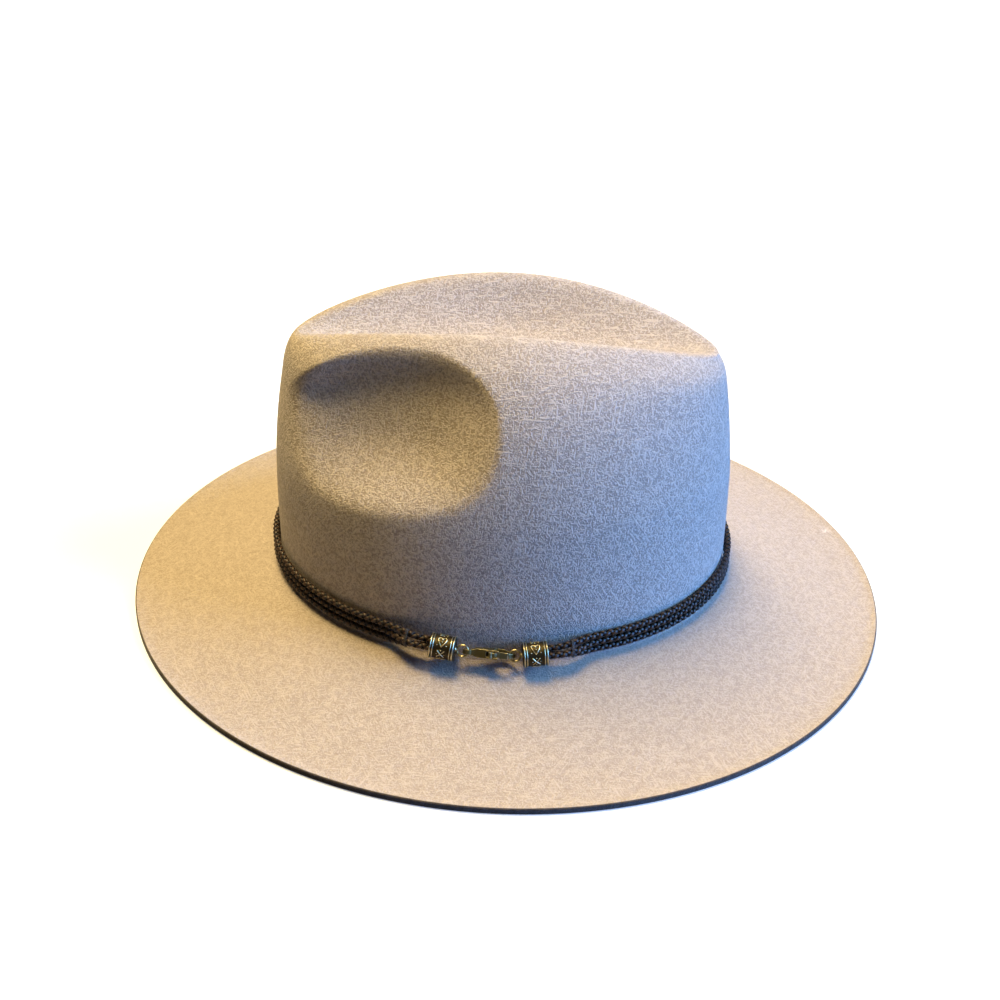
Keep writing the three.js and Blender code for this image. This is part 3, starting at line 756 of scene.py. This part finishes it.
def felt_material():
    material, tree, shader, coordinates = start_material("wool felt")
    hairs = place_group(tree, FIBRES, coordinates, Width=0.0009, Length=0.0055, Sharpness=8.0)
    # the pale hairs grow stronger up the crown as painted highlight of grazing light; this also
    # deepens their relief
    hairs = math_node(tree, "MULTIPLY", hairs, lit_hair_share(tree, coordinates))
    down = place_group(tree, FIBRES, coordinates, Width=0.0006, Length=0.0020, Sharpness=6.0)
    clouds = place_group(tree, MOTTLE, coordinates, Size=0.003, Contrast=2.0)
    ground = mix_colour(tree, clouds, GROUND_DARK, GROUND_LIGHT)
    haired = mix_colour(tree, math_node(tree, "MULTIPLY", hairs, HAIR_SHARE), ground, HAIR_COLOUR)
    # the cut edge takes a dark colour: painted shade, not the felt's own colour
    cut_edge_shade = mix_colour(tree, clouds, CUT_EDGE_SHADE_DARK, CUT_EDGE_SHADE_LIGHT)
    colour = mix_colour(tree, read_attribute(tree, "cut_edge"), haired, cut_edge_shade)
    pucker, speck, scuff = (
        place_group(tree, SPOT, coordinates, **mark) for mark in (PUCKER, SPECK, SCUFF))
    # the pucker's darkening is painted shade in its dent; the speck is a dark mark
    for mark, darkness in ((pucker, PUCKER_SHADE), (speck, SPECK_DARKNESS)):
        share = math_node(tree, "MULTIPLY", mark, darkness)
        colour = mix_colour(tree, share, colour, SPECK_AND_SHADE_DARK)
    colour = mix_colour(tree, math_node(tree, "MULTIPLY", scuff, hairs), colour, MARK_LIGHT)
    tree.links.new(colour, shader.inputs["Base Color"])
    shader.inputs["Roughness"].default_value = 0.95
    shader.inputs["Specular IOR Level"].default_value = 0.15
    shader.inputs["Sheen Weight"].default_value = 0.25
    shader.inputs["Sheen Roughness"].default_value = 0.45
    shader.inputs["Sheen Tint"].default_value = (1.0, 0.93, 0.86, 1)
    fine = math_node(tree, "MULTIPLY", down, 0.5)
    height = math_node(tree, "ADD", hairs, fine)
    pushed_in = math_node(tree, "MULTIPLY", pucker, PUCKER_DEPTH)
    height = math_node(tree, "SUBTRACT", height, pushed_in)
    add_bump(tree, shader, height, 0.00024, 0.9)
    return material


felt_hat.data.materials.append(felt_material())
print("felt material on", felt_hat.name)

# %% [markdown]
# ## Where the band lies
#
# The band is bought ready made and only laid round the crown: three cords, one above the
# other, a hair's breadth off the felt. At the wearer's left they draw together into two caps,
# and a clasp joins the caps' eyes. Its place follows from the crown's wall, so it is worked
# out from the same surface as the felt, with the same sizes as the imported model. Frames are
# kept as an origin and three axes: along the piece, outward, and across it.

# %% Band sizes, in millimetres and degrees
GAP = 0.3
WALL_GAP = 0.44
CORD_DIAMETER = 3.1
CORD_HEIGHT = 6.9
CORD_GATHER = 20.0
CORD_STRAIGHT = 2.0
CORD_DETOUR = 2.4
CORD_IN_CAP = 6.0
CORD_WALL_STEPS = 52
CORD_GATHER_STEPS = 4
CAP_RADIUS = 5.2
CAP_LENGTH = 10.5
CAP_WALL = 1.0
CAP_FLOOR = 1.6
CAP_RING_HEIGHT = 0.4
CAP_TURN = 8
CAP_LIFT = 4
EYE_RADIUS = 2.3
EYE_WIRE = 0.5
EYE_REACH = 3.0
CLASP_HALF_LENGTH = 10.7
CLASP_FORWARD = 6.7
CLASP_TILT = 2.7
CLASP_ROLL = 30

PITCH = CORD_DIAMETER + GAP
BUNDLE = PITCH / math.sqrt(3)
BAND_LEVEL = FOOT + CORD_HEIGHT
UP = np.array([0.0, 0.0, 1.0])
# level: place on the wall; in_cap: place in the cap, in degrees round its axis
BAND_CORDS = [
    dict(name="upper", level=1, in_cap=120),
    dict(name="middle", level=0, in_cap=0),
    dict(name="lower", level=-1, in_cap=240),
]


# %% Frames of the clasp and the caps, and the cords' routes
def wall_at(angle, height):
    """The crown's outer face at a height: the bracket of rows is halved until it is tight."""
    low = np.full(angle.shape, float(BREAK_ROW))
    high = np.full(angle.shape, RIDGE_ROW - 1.0)
    for _ in range(24):
        row = (low + high) / 2
        below = felt_point(angle, row)[:, 2] < height
        low = np.where(below, row, low)
        high = np.where(below, high, row)
    return felt_point(angle, low), felt_normal(angle, low)


def to_world(points, place):
    """Points given along the three axes of a frame, moved to where the frame stands."""
    origin, axes = place
    return origin + points @ axes


def clasp_place():
    """The clasp's frame. It stands off the wall as far as its turned caps need: a cap's axis
    leaves the tangent by sin(turn), and the wall falls away by d^2 / (2 R) at distance d."""
    clasp_angle = np.array([math.acos((HEAD_SHIFT + CLASP_FORWARD) / HEAD_HALF_LENGTH)])
    point, normal = (x[0] for x in wall_at(clasp_angle, BAND_LEVEL))
    outward = unit(normal * [1, 1, 0])
    backward = np.cross(UP, outward)
    ends = np.array([EYE_REACH, EYE_REACH + CAP_LENGTH])
    sag = (CLASP_HALF_LENGTH + ends) ** 2 * HEAD_HALF_WIDTH / (2 * HEAD_HALF_LENGTH**2)
    stand_off = CAP_RADIUS + WALL_GAP + (ends * math.sin(math.radians(CAP_TURN)) - sag).max()
    tilt, roll = math.radians(CLASP_TILT), math.radians(CLASP_ROLL)
    along = backward * math.cos(tilt) - UP * math.sin(tilt)
    out = outward * math.cos(roll) + np.cross(outward, along) * math.sin(roll)
    axes = np.array([along, out, np.cross(along, out)])
    return (point + outward * stand_off, axes), outward, backward


CLASP_PLACE, OUTWARD, BACKWARD = clasp_place()


def cap_place(end):
    """A cap's frame, its origin in the middle of its eye; end is -1 for the front cap, 1 for
    the back one. Its axis turns in to follow the crown and rises from the eye to the mouth."""
    eye = to_world(np.array([end * CLASP_HALF_LENGTH, 0.0, 0.0]), CLASP_PLACE)
    turn, lift = math.radians(CAP_TURN), math.radians(CAP_LIFT)
    away = unit(BACKWARD * end - OUTWARD * math.tan(turn) + UP * math.tan(lift))
    out = CLASP_PLACE[1][1]
    out = unit(out - away * (out @ away))
    return eye, np.array([away, out, np.cross(away, out)])


def cap_mouth(end):
    """Where the cords enter a cap, with the directions that they are spread in."""
    place = cap_place(end)
    point = to_world(np.array([EYE_REACH + CAP_LENGTH, 0.0, 0.0]), place)
    away = place[1][0]
    out = unit(np.cross(UP, away) * -end)
    angle = math.acos((HEAD_SHIFT - point[1]) / HEAD_HALF_LENGTH)
    return dict(end=end, point=point, away=away, out=out, rise=np.cross(out, away) * end,
                angle=angle)


def in_line(cord, mouth, distance, bundled):
    """Points in line with a cap, at distances beyond its mouth. bundled is 1 where the cords
    lie as in the cap and 0 where they lie one above the other."""
    turn = math.radians(cord["in_cap"])
    share = mix(CORD_DETOUR, 1, bundled) if cord["level"] == 0 else bundled
    out = BUNDLE * math.cos(turn) * share
    rise = mix(cord["level"] * PITCH, BUNDLE * math.sin(turn), bundled)
    spread = out[:, None] * mouth["out"] + rise[:, None] * mouth["rise"]
    return mouth["point"] + distance[:, None] * mouth["away"] + spread


def on_wall(cord, angle):
    """The cord's centre beside the crown: half its diameter and the gap off the felt."""
    point, normal = wall_at(angle, BAND_LEVEL + cord["level"] * PITCH)
    return point + unit(normal * [1, 1, 0]) * (CORD_DIAMETER / 2 + WALL_GAP)


def cord_end(cord, mouth):
    """From inside a cap to where the cord lies on the crown."""
    held = in_line(cord, mouth, np.array([-CORD_IN_CAP, 0, CORD_STRAIGHT]), np.ones(3))
    steps = np.arange(1, CORD_GATHER_STEPS + 1) / CORD_GATHER_STEPS
    distance = mix(CORD_STRAIGHT, CORD_GATHER, steps)
    bundled = 1 - smooth_step(steps)
    wall = on_wall(cord, mouth["angle"] + mouth["end"] * distance / HEAD_HALF_LENGTH)
    reach = (wall - mouth["point"]) @ mouth["away"]
    gathering = mix(wall, in_line(cord, mouth, reach, bundled), bundled[:, None])
    return np.concatenate([held, gathering])


def cord_route(cord):
    """The points that a cord's centre line passes through, from cap to cap round the hat."""
    front, back = cap_mouth(-1), cap_mouth(1)
    gathered = CORD_GATHER / HEAD_HALF_LENGTH
    start, finish = front["angle"] - gathered, back["angle"] + gathered - 2 * np.pi
    steps = np.arange(1, CORD_WALL_STEPS) / CORD_WALL_STEPS
    wall = on_wall(cord, mix(start, finish, steps))
    return np.concatenate([cord_end(cord, front), wall, cord_end(cord, back)[::-1]])


print("clasp's middle, in millimetres:", CLASP_PLACE[0].round(3))
print("caps' mouths:", cap_mouth(-1)["point"].round(2), cap_mouth(1)["point"].round(2))

# %% [markdown]
# ## Braided cords
#
# Each cord is a round braid of four leather strands: two wind to the right, two to the left,
# and each goes over one and under the next. So a strand's centre is a helix whose radius
# swells and shrinks twice a turn: out where it lies on top, in where it dives. The strands
# are flattened against the cord. Curves with a bevel would give round wires, so the strands'
# skins are worked out here, all rings of a strand at once.

# %% Braid
STRAND_PITCH = 6.6  # length of cord in which a strand winds once round
STRAND_RADIUS = 0.82  # its middle distance from the cord's centre line
STRAND_WEAVE = 0.34  # how far it goes over and under that
STRAND_HALF_WIDTH = 0.74
STRAND_HALF_THICKNESS = 0.39
STRAND_SIDES = 8
RINGS_PER_PITCH = 14
CREST = STRAND_RADIUS + STRAND_WEAVE + STRAND_HALF_THICKNESS


def cord_line(route):
    """Centre line at even steps of its own length, with its tangent and two directions across:
    outward from the hat and upward. Gives also the length from the start to each point."""
    fine = np.linspace(0, len(route) - 1, 24 * (len(route) - 1) + 1)
    steps = np.linalg.norm(np.diff(catmull_rom(route[:, None], fine), axis=0), axis=1)
    length = np.concatenate([[0], np.cumsum(steps)])
    count = int(length[-1] / STRAND_PITCH * RINGS_PER_PITCH)
    along = np.linspace(0, length[-1], count)
    centre = catmull_rom(route[:, None], np.interp(along, length, fine))
    tangent = unit(np.gradient(centre, axis=0))
    rise = unit(UP - (tangent @ UP)[:, None] * tangent)
    return along, centre, np.cross(tangent, rise), rise


def strand_grid(line, turn, start):
    """One strand's skin as a grid of rings, and how high each of its points lies.

    With w = 2 pi s / pitch, the centre stands at the angle turn w + start round the cord and
    at radius + turn weave cos(2 w). A ring is an ellipse, flat against the cord. turn is 1 or
    -1; both kinds meet where the cosine is 1 or -1, so one is over while the other is under.
    """
    along, centre, out, rise = line
    wound = 2 * np.pi * along / STRAND_PITCH
    angle = (turn * wound + start)[:, None]
    radial = np.cos(angle) * out + np.sin(angle) * rise
    path = centre + (STRAND_RADIUS + turn * STRAND_WEAVE * np.cos(2 * wound))[:, None] * radial
    forward = unit(np.gradient(path, axis=0))
    side = unit(np.cross(forward, radial))
    lift = np.cross(side, forward)
    section = np.linspace(0, 2 * np.pi, STRAND_SIDES, endpoint=False)
    wide = STRAND_HALF_WIDTH * np.cos(section)[None, :, None] * side[:, None]
    thick = STRAND_HALF_THICKNESS * np.sin(section)[None, :, None] * lift[:, None]
    grid = path[:, None] + wide + thick
    height = np.linalg.norm(grid - centre[:, None], axis=2) / CREST
    return grid, np.append(height.ravel(), [0.5, 0.5])


def braided_cord(cord):
    line = cord_line(cord_route(cord))
    strands = [strand_grid(line, turn, start) for turn in (1, -1) for start in (0, np.pi)]
    skins = [skin_arrays(grid) for grid, _ in strands]
    piece = make_piece("braided_cord_" + cord["name"], skins)
    write_attribute(piece.data, "crest", np.concatenate([height for _, height in strands]))
    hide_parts("cord_" + cord["name"])
    print(f"  centre line {line[0][-1]:.0f} mm long")
    return piece


braids = [braided_cord(cord) for cord in BAND_CORDS]

# %% [markdown]
# ## Tack stitches
#
# Beyond each cap a few turns of thin thread hold the three cords together, so that they can't
# spread there. With a needle it takes seconds: round the bundle, pull tight, knot. A thread
# under tension runs straight from one cord to the next and round each cord's outer side. That
# is the outline of the three circles together, and it needs no physics to find.

# %% Tack stitches
THREAD_RADIUS = 0.12
STITCH_REACH = 10.4  # along the band from a cap's mouth
STITCH_TURNS = [-0.45, -0.1, 0.3]  # where the turns of thread lie about that place


def crossing(cord, mouth, reach):
    """Where a cord's centre line goes through the plane at that distance beyond a mouth."""
    points = cord_end(cord, mouth)
    line = catmull_rom(points[:, None], np.linspace(0, len(points) - 1, 400))
    return line[np.abs((line - mouth["point"]) @ mouth["away"] - reach).argmin()]


def thread_turn(mouth, shift, sides=10, rings=120):
    """A thread round the cords: in each direction u across them, the centre farthest that way
    plus (cord radius + thread radius) u. The points are then spread evenly along the loop."""
    centres = np.array([crossing(cord, mouth, STITCH_REACH + shift) for cord in BAND_CORDS])
    turn = np.linspace(0, 2 * np.pi, 720)[:, None]
    push = np.cos(turn) * mouth["out"] + np.sin(turn) * mouth["rise"]
    loop = centres[(push @ centres.T).argmax(axis=1)]
    loop = loop + (CORD_DIAMETER / 2 + 0.5 * THREAD_RADIUS) * push
    length = np.concatenate([[0], np.cumsum(np.linalg.norm(np.diff(loop, axis=0), axis=1))])
    even = np.linspace(0, length[-1], rings, endpoint=False)
    path = np.stack([np.interp(even, length, loop[:, axis]) for axis in range(3)], axis=1)
    forward = unit(np.roll(path, -1, axis=0) - np.roll(path, 1, axis=0))
    side = np.broadcast_to(mouth["away"], path.shape)
    lift = np.cross(forward, side)
    round_thread = np.linspace(0, 2 * np.pi, sides, endpoint=False)[None, :, None]
    spread = np.cos(round_thread) * side[:, None] + np.sin(round_thread) * lift[:, None]
    return path[:, None] + THREAD_RADIUS * spread


def tack_stitch(name, end):
    mouth = cap_mouth(end)
    skins = [skin_arrays(thread_turn(mouth, shift), looped=True) for shift in STITCH_TURNS]
    return make_piece("tack_stitch_" + name, skins)


stitches = [tack_stitch("front", -1), tack_stitch("back", 1)]

# %% [markdown]
# ## End caps
#
# Each cap is a small brass casting: a cup that grips the cord ends, with two rings at either
# end and hearts and crosses raised on the barrel between them, and a wire eye on its closed
# end. The barrel is one surface of revolution whose radius is looked up at every point, so
# the relief is real geometry: a function of the distance to the ornament's lines. Text or
# curve objects joined by booleans would give the same relief with a far messier mesh.

# %% Cap barrel and relief
MOTIF_PAIRS = 3
MOTIF_SIZE = 3.7
MOTIF_START = 30  # degrees that the first heart stands above the eye's axis
RELIEF_HEIGHT = 0.35
RELIEF_LINE = 0.26  # half the width of a raised line
DOT_RADIUS = 0.3
CAP_SIDES = 288
BARREL = CAP_RADIUS - CAP_RING_HEIGHT

# middle and half_width: shares of the cap's length; the other end mirrors them
CAP_RINGS = [
    dict(middle=0.058, half_width=0.034),
    dict(middle=0.158, half_width=0.026),
]
# along, up: places of the dots round a cross and in a heart, as shares of the motif's size
CROSS_DOTS = [(0.0, 0.42), (0.0, -0.42), (0.42, 0.0), (-0.42, 0.0)]
HEART_DOTS = [(0.0, 0.02), (0.52, -0.36), (-0.52, -0.36)]


def heart_line(size, steps=24):
    """Points on a heart, its point down: four Bezier curves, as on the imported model."""
    t = np.linspace(0, 1, steps)[:, None]
    right = np.array([(0, -0.5), (0.3, -0.2), (0.7, 0.5), (0.28, 0.5)])
    lobe = np.array([(0.28, 0.5), (0.1, 0.5), (0, 0.4), (0, 0.3)])
    s = 1 - t
    weights = np.concatenate([s**3, 3 * t * s**2, 3 * t * t * s, t**3], axis=1)
    half = np.concatenate([weights @ right, weights @ lobe]) * size
    return np.concatenate([half, half * [-1, 1]])


def distance_to(points, targets):
    """Distance from each point to the nearest target."""
    return np.linalg.norm(points[:, None] - targets[None], axis=2).min(axis=1)


def rounded(distance, reach):
    """A raised line's height, 0 to 1: a half circle sqrt(1 - (distance / reach)^2)."""
    return np.sqrt(np.clip(1 - (distance / reach) ** 2, 0, 1))


def motif_height(along, up, is_heart):
    """Height of the ornament, 0 to 1, at places measured from the middle of its motif."""
    place = np.stack([along, up], axis=1)
    heart = rounded(distance_to(place, heart_line(MOTIF_SIZE)), RELIEF_LINE)
    heart_dots = rounded(distance_to(place, np.array(HEART_DOTS) * MOTIF_SIZE), DOT_RADIUS)
    bars = np.minimum(np.abs(along - up), np.abs(along + up)) / math.sqrt(2)
    bars += np.clip(np.hypot(along, up) - 0.56 * MOTIF_SIZE, 0, None)
    cross = rounded(bars, RELIEF_LINE)
    cross_dots = rounded(distance_to(place, np.array(CROSS_DOTS) * MOTIF_SIZE), DOT_RADIUS)
    return np.where(is_heart, np.maximum(heart, heart_dots), np.maximum(cross, cross_dots))


def barrel_height(share, angle):
    """Height over the barrel in millimetres, and the same as 0 to 1 for the finish."""
    from_end = np.minimum(share, 1 - share)
    rings = np.zeros(share.shape)
    for ring in CAP_RINGS:
        rings = np.maximum(rings, rounded(from_end - ring["middle"], ring["half_width"]))
    spacing = np.pi / MOTIF_PAIRS
    turned = angle - math.radians(MOTIF_START)
    number = np.round(turned / spacing)
    along = (share - 0.5) * CAP_LENGTH
    motif = motif_height(along, (turned - number * spacing) * BARREL, number % 2 == 0)
    motif *= from_end > 0.19
    return np.maximum(rings * CAP_RING_HEIGHT, motif * RELIEF_HEIGHT), np.maximum(rings, motif)


def cap_barrel(end):
    """The cup's skin: floor, barrel, mouth and bore, turned about the cap's axis."""
    share = np.concatenate([
        np.linspace(0.02, 0.19, 26, endpoint=False), np.linspace(0.19, 0.81, 62),
        np.linspace(0.98, 0.81, 26, endpoint=False)[::-1],
    ])
    angle = np.linspace(0, 2 * np.pi, CAP_SIDES, endpoint=False)
    grid_share, grid_angle = (x.ravel() for x in np.meshgrid(share, angle, indexing="ij"))
    height, raised = barrel_height(grid_share, grid_angle)
    shape = (len(share), CAP_SIDES)
    # radius and place of the plain rings, before and after the barrel
    floor = [(0.35 * BARREL, 0.0), (0.80 * BARREL, 0.0), (0.96 * BARREL, 0.005)]
    bore = BARREL - CAP_WALL
    lip = [(0.97 * BARREL, 0.995), (bore + 0.3, 1.0), (bore, 0.985), (bore, 0.5),
           (bore, CAP_FLOOR / CAP_LENGTH), (0.3 * bore, CAP_FLOOR / CAP_LENGTH)]
    radius = np.concatenate([
        np.repeat([[r] for r, _ in floor], CAP_SIDES, axis=1), BARREL + height.reshape(shape),
        np.repeat([[r] for r, _ in lip], CAP_SIDES, axis=1),
    ])
    along = np.concatenate([[a for _, a in floor], share, [a for _, a in lip]]) * CAP_LENGTH
    # the hearts stand upright on both caps: "up" is against the frame's third axis on the back
    # cap and along it on the front one
    grid = np.stack([
        np.broadcast_to(EYE_REACH + along[:, None], radius.shape),
        radius * np.cos(angle), -end * radius * np.sin(angle),
    ], axis=-1)
    wear = np.concatenate([np.full(len(floor) * CAP_SIDES, 0.25), raised,
                           np.full(len(lip) * CAP_SIDES + 2, 0.2)])
    return grid, wear


def eye_ring(major=64, minor=16):
    """The eye: a torus, (R + r cos b) (cos a, sin a) in the frame's xz plane."""
    a, b = np.meshgrid(np.linspace(0, 2 * np.pi, major, endpoint=False),
                       np.linspace(0, 2 * np.pi, minor, endpoint=False), indexing="ij")
    spread = EYE_RADIUS + EYE_WIRE * np.cos(b)
    return np.stack([spread * np.cos(a), EYE_WIRE * np.sin(b), spread * np.sin(a)], axis=-1)


def eye_neck(sides=24, rings=12):
    """The cast foot of the eye: its radius flares to the cap as wire (1.5 + 1.5 s^3)."""
    share = np.linspace(0, 1, rings)[:, None]
    radius = EYE_WIRE * (1.5 + 1.5 * share**3)
    turn = np.linspace(0, 2 * np.pi, sides, endpoint=False)[None]
    along = mix(EYE_RADIUS, EYE_REACH + 0.2, share)
    return np.stack([np.broadcast_to(along, (rings, sides)), radius * np.cos(turn),
                     radius * np.sin(turn)], axis=-1)


def end_cap(name, end):
    place = cap_place(end)
    barrel, wear = cap_barrel(end)
    ring, neck = eye_ring(), eye_neck()
    floor_middle = np.array([EYE_REACH, 0.0, 0.0])
    bore_middle = np.array([EYE_REACH + CAP_FLOOR, 0.0, 0.0])
    skins = [
        skin_arrays(to_world(barrel, place), to_world(floor_middle, place),
                    to_world(bore_middle, place)),
        skin_arrays(to_world(ring, place), looped=True),
        skin_arrays(to_world(neck, place)),
    ]
    piece = make_piece("cast_" + name, skins)
    eye_wear = np.full(ring.shape[0] * ring.shape[1] + neck.shape[0] * neck.shape[1] + 2, 0.7)
    write_attribute(piece.data, "raised", np.concatenate([wear, eye_wear]))
    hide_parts(name)
    return piece


caps = [end_cap("cap_front", -1), end_cap("cap_back", 1)]

# %% [markdown]
# ## Clasp and lever
#
# The trigger clasp is cast too, and its lever turns on a pin under a hidden spring. Both must
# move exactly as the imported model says, so they start as copies of its solids. A casting has
# no sharp corner: a voxel remesh at a tenth of a millimetre and a smoothing round them off,
# which a Bevel modifier can't do at the many small corners that the cuts leave. The finish
# needs to know where hands rub, so each point's convexity is measured and kept.

# %% Clasp and lever
CAST_VOXEL = 0.11
CAST_SMOOTHING = 5


def convexity(mesh):
    """How far each point stands out, 0 to 1: the mean of -n . d over its edges, where n is the
    point's normal and d the unit step to the other end, spread by a few rounds of averaging."""
    count = len(mesh.vertices)
    points, normals = np.empty(count * 3, np.float32), np.empty(count * 3, np.float32)
    mesh.vertices.foreach_get("co", points)
    mesh.vertices.foreach_get("normal", normals)
    points, normals = points.reshape(-1, 3), normals.reshape(-1, 3)
    edges = np.empty(len(mesh.edges) * 2, np.int32)
    mesh.edges.foreach_get("vertices", edges)
    start, end = edges.reshape(-1, 2).T
    start, end = np.concatenate([start, end]), np.concatenate([end, start])
    meeting = np.bincount(start, minlength=count)
    step = unit(points[end] - points[start])
    curve = -np.einsum("ij,ij->i", normals[start], step)
    value = np.bincount(start, curve, count) / meeting
    for _ in range(4):
        value = np.bincount(start, value[end], count) / meeting
    return np.clip(0.35 + value * 4.0, 0, 1)


def cast_copy(name, node, body):
    """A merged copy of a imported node, remeshed and smoothed, riding on that node's body."""
    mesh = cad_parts[node].data.copy()
    mesh.materials.clear()
    source = bpy.data.objects.new("source of " + name, mesh)
    bpy.context.scene.collection.objects.link(source)
    weld = source.modifiers.new("weld", "WELD")
    weld.merge_threshold = 0.002 * MM
    remesh = source.modifiers.new("remesh", "REMESH")
    remesh.mode = "VOXEL"
    remesh.voxel_size = CAST_VOXEL * MM
    smooth = source.modifiers.new("smooth", "SMOOTH")
    smooth.iterations = CAST_SMOOTHING
    graph = bpy.context.evaluated_depsgraph_get()
    cast = bpy.data.meshes.new_from_object(source.evaluated_get(graph))
    bpy.data.objects.remove(source)
    cast.name = name
    cast.shade_smooth()
    piece = bpy.data.objects.new(name, cast)
    bpy.context.scene.collection.objects.link(piece)
    write_attribute(cast, "raised", convexity(cast))
    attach(piece, body)
    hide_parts(node)
    print(f"{name}: {len(cast.vertices)} points, {sum(len(p.vertices) - 2 for p in cast.polygons)}"
          " triangles")
    return piece


clasp = cast_copy("cast_clasp", "clasp_body", "hat")
lever = cast_copy("cast_lever", "clasp_lever", "lever")

# %% [markdown]
# ## Leather and antique brass
#
# The leather is waxed nearly black, and it is shiny and a little redder on the crests of the
# braid, where it rubs; that lighter crest colour is partly a painted highlight. The brass was
# darkened and then polished: the ground stays almost black and the raised lines shine. Both are
# one node group, wear with painted highlight on the leather: a height from the mesh, broken up
# by mottle, that turns into a share of bright surface.

# %% Wear and highlight group, and the band's materials
def wear_and_highlight_group():
    """Share of worn surface, which on the leather is also painted highlight: the height, shifted
    by mottle, ramped from Start to Full.
    """
    group, given, result = new_group(
        "wear",
        [("Coordinates", "NodeSocketVector", None), ("Height", "NodeSocketFloat", 0.5),
         ("Start", "NodeSocketFloat", 0.3), ("Full", "NodeSocketFloat", 0.9),
         ("Break Up", "NodeSocketFloat", 0.3), ("Size", "NodeSocketFloat", 0.001)],
        [("Rubbed And Highlit", "NodeSocketFloat")],
    )
    clouds = group.nodes.new("ShaderNodeGroup")
    clouds.node_tree = MOTTLE
    clouds.inputs["Contrast"].default_value = 2.0
    group.links.new(given.outputs["Coordinates"], clouds.inputs["Coordinates"])
    group.links.new(given.outputs["Size"], clouds.inputs["Size"])
    centred = math_node(group, "SUBTRACT", clouds.outputs["Clouds"], 0.5)
    shift = math_node(group, "MULTIPLY", centred, given.outputs["Break Up"])
    height = math_node(group, "ADD", given.outputs["Height"], shift)
    rubbed_and_highlit = smooth_range(group, height, given.outputs["Start"], given.outputs["Full"])
    group.links.new(rubbed_and_highlit, result.inputs["Rubbed And Highlit"])
    return group


WEAR_AND_HIGHLIGHT = wear_and_highlight_group()


def place_wear_and_highlight(tree, coordinates, attribute, **values):
    """The wear and highlight group in a material, its height read from the mesh."""
    rubbed_and_highlit = place_group(tree, WEAR_AND_HIGHLIGHT, coordinates, **values)
    tree.links.new(read_attribute(tree, attribute), rubbed_and_highlit.node.inputs["Height"])
    return rubbed_and_highlit


def set_roughness(tree, shader, rubbed_and_highlit, dull, polish):
    """Roughness dull - polish * rubbed_and_highlit: the worn and highlit share shines more."""
    rough = math_node(tree, "MULTIPLY_ADD", rubbed_and_highlit, -polish)
    rough.node.inputs[2].default_value = dull
    tree.links.new(rough, shader.inputs["Roughness"])


def leather_material():
    material, tree, shader, coordinates = start_material("waxed leather")
    rubbed_and_highlit = place_wear_and_highlight(tree, coordinates, "crest", Start=0.68, Full=1.0, Size=0.002)
    grain = place_group(tree, MOTTLE, coordinates, Size=0.0004, Contrast=1.5)
    # lighter, redder crests: rub wear, and a painted highlight along each strand
    colour = mix_colour(tree, rubbed_and_highlit, (0.003, 0.0022, 0.002, 1), (0.060, 0.030, 0.015, 1))
    tree.links.new(colour, shader.inputs["Base Color"])
    set_roughness(tree, shader, rubbed_and_highlit, 0.58, 0.20)
    shader.inputs["Specular IOR Level"].default_value = 0.4
    shader.inputs["Coat Weight"].default_value = 0.10
    shader.inputs["Coat Roughness"].default_value = 0.3
    add_bump(tree, shader, grain, 0.00004, 0.5)
    return material


def brass_material(name, ground, start, full):
    """Cast brass: ground is the colour of its recesses, and the wear runs from start to full."""
    material, tree, shader, coordinates = start_material(name)
    rubbed_and_highlit = place_wear_and_highlight(tree, coordinates, "raised", Start=start, Full=full, Size=0.0012)
    pits = place_group(tree, MOTTLE, coordinates, Size=0.0003, Contrast=2.0)
    colour = mix_colour(tree, rubbed_and_highlit, ground, (0.64, 0.53, 0.30, 1))
    tree.links.new(colour, shader.inputs["Base Color"])
    set_roughness(tree, shader, rubbed_and_highlit, 0.55, 0.25)
    shader.inputs["Metallic"].default_value = 1.0
    add_bump(tree, shader, pits, 0.00003, 0.4)
    return material


def thread_material():
    material, tree, shader, coordinates = start_material("tack thread")
    fuzz = place_group(tree, MOTTLE, coordinates, Size=0.0003, Contrast=2.0)
    colour = mix_colour(tree, fuzz, (0.04, 0.035, 0.03, 1), (0.09, 0.08, 0.07, 1))
    tree.links.new(colour, shader.inputs["Base Color"])
    shader.inputs["Roughness"].default_value = 0.6
    return material


leather, thread = leather_material(), thread_material()
cap_brass = brass_material("antique brass, dark", (0.060, 0.046, 0.022, 1), 0.20, 0.90)
clasp_brass = brass_material("antique brass, worn", (0.16, 0.13, 0.055, 1), 0.35, 1.00)
for braid in braids:
    braid.data.materials.append(leather)
for stitch in stitches:
    stitch.data.materials.append(thread)
for cap in caps:
    cap.data.materials.append(cap_brass)
for casting in (clasp, lever):
    casting.data.materials.append(clasp_brass)
print("materials:", [m.name for m in bpy.data.materials])
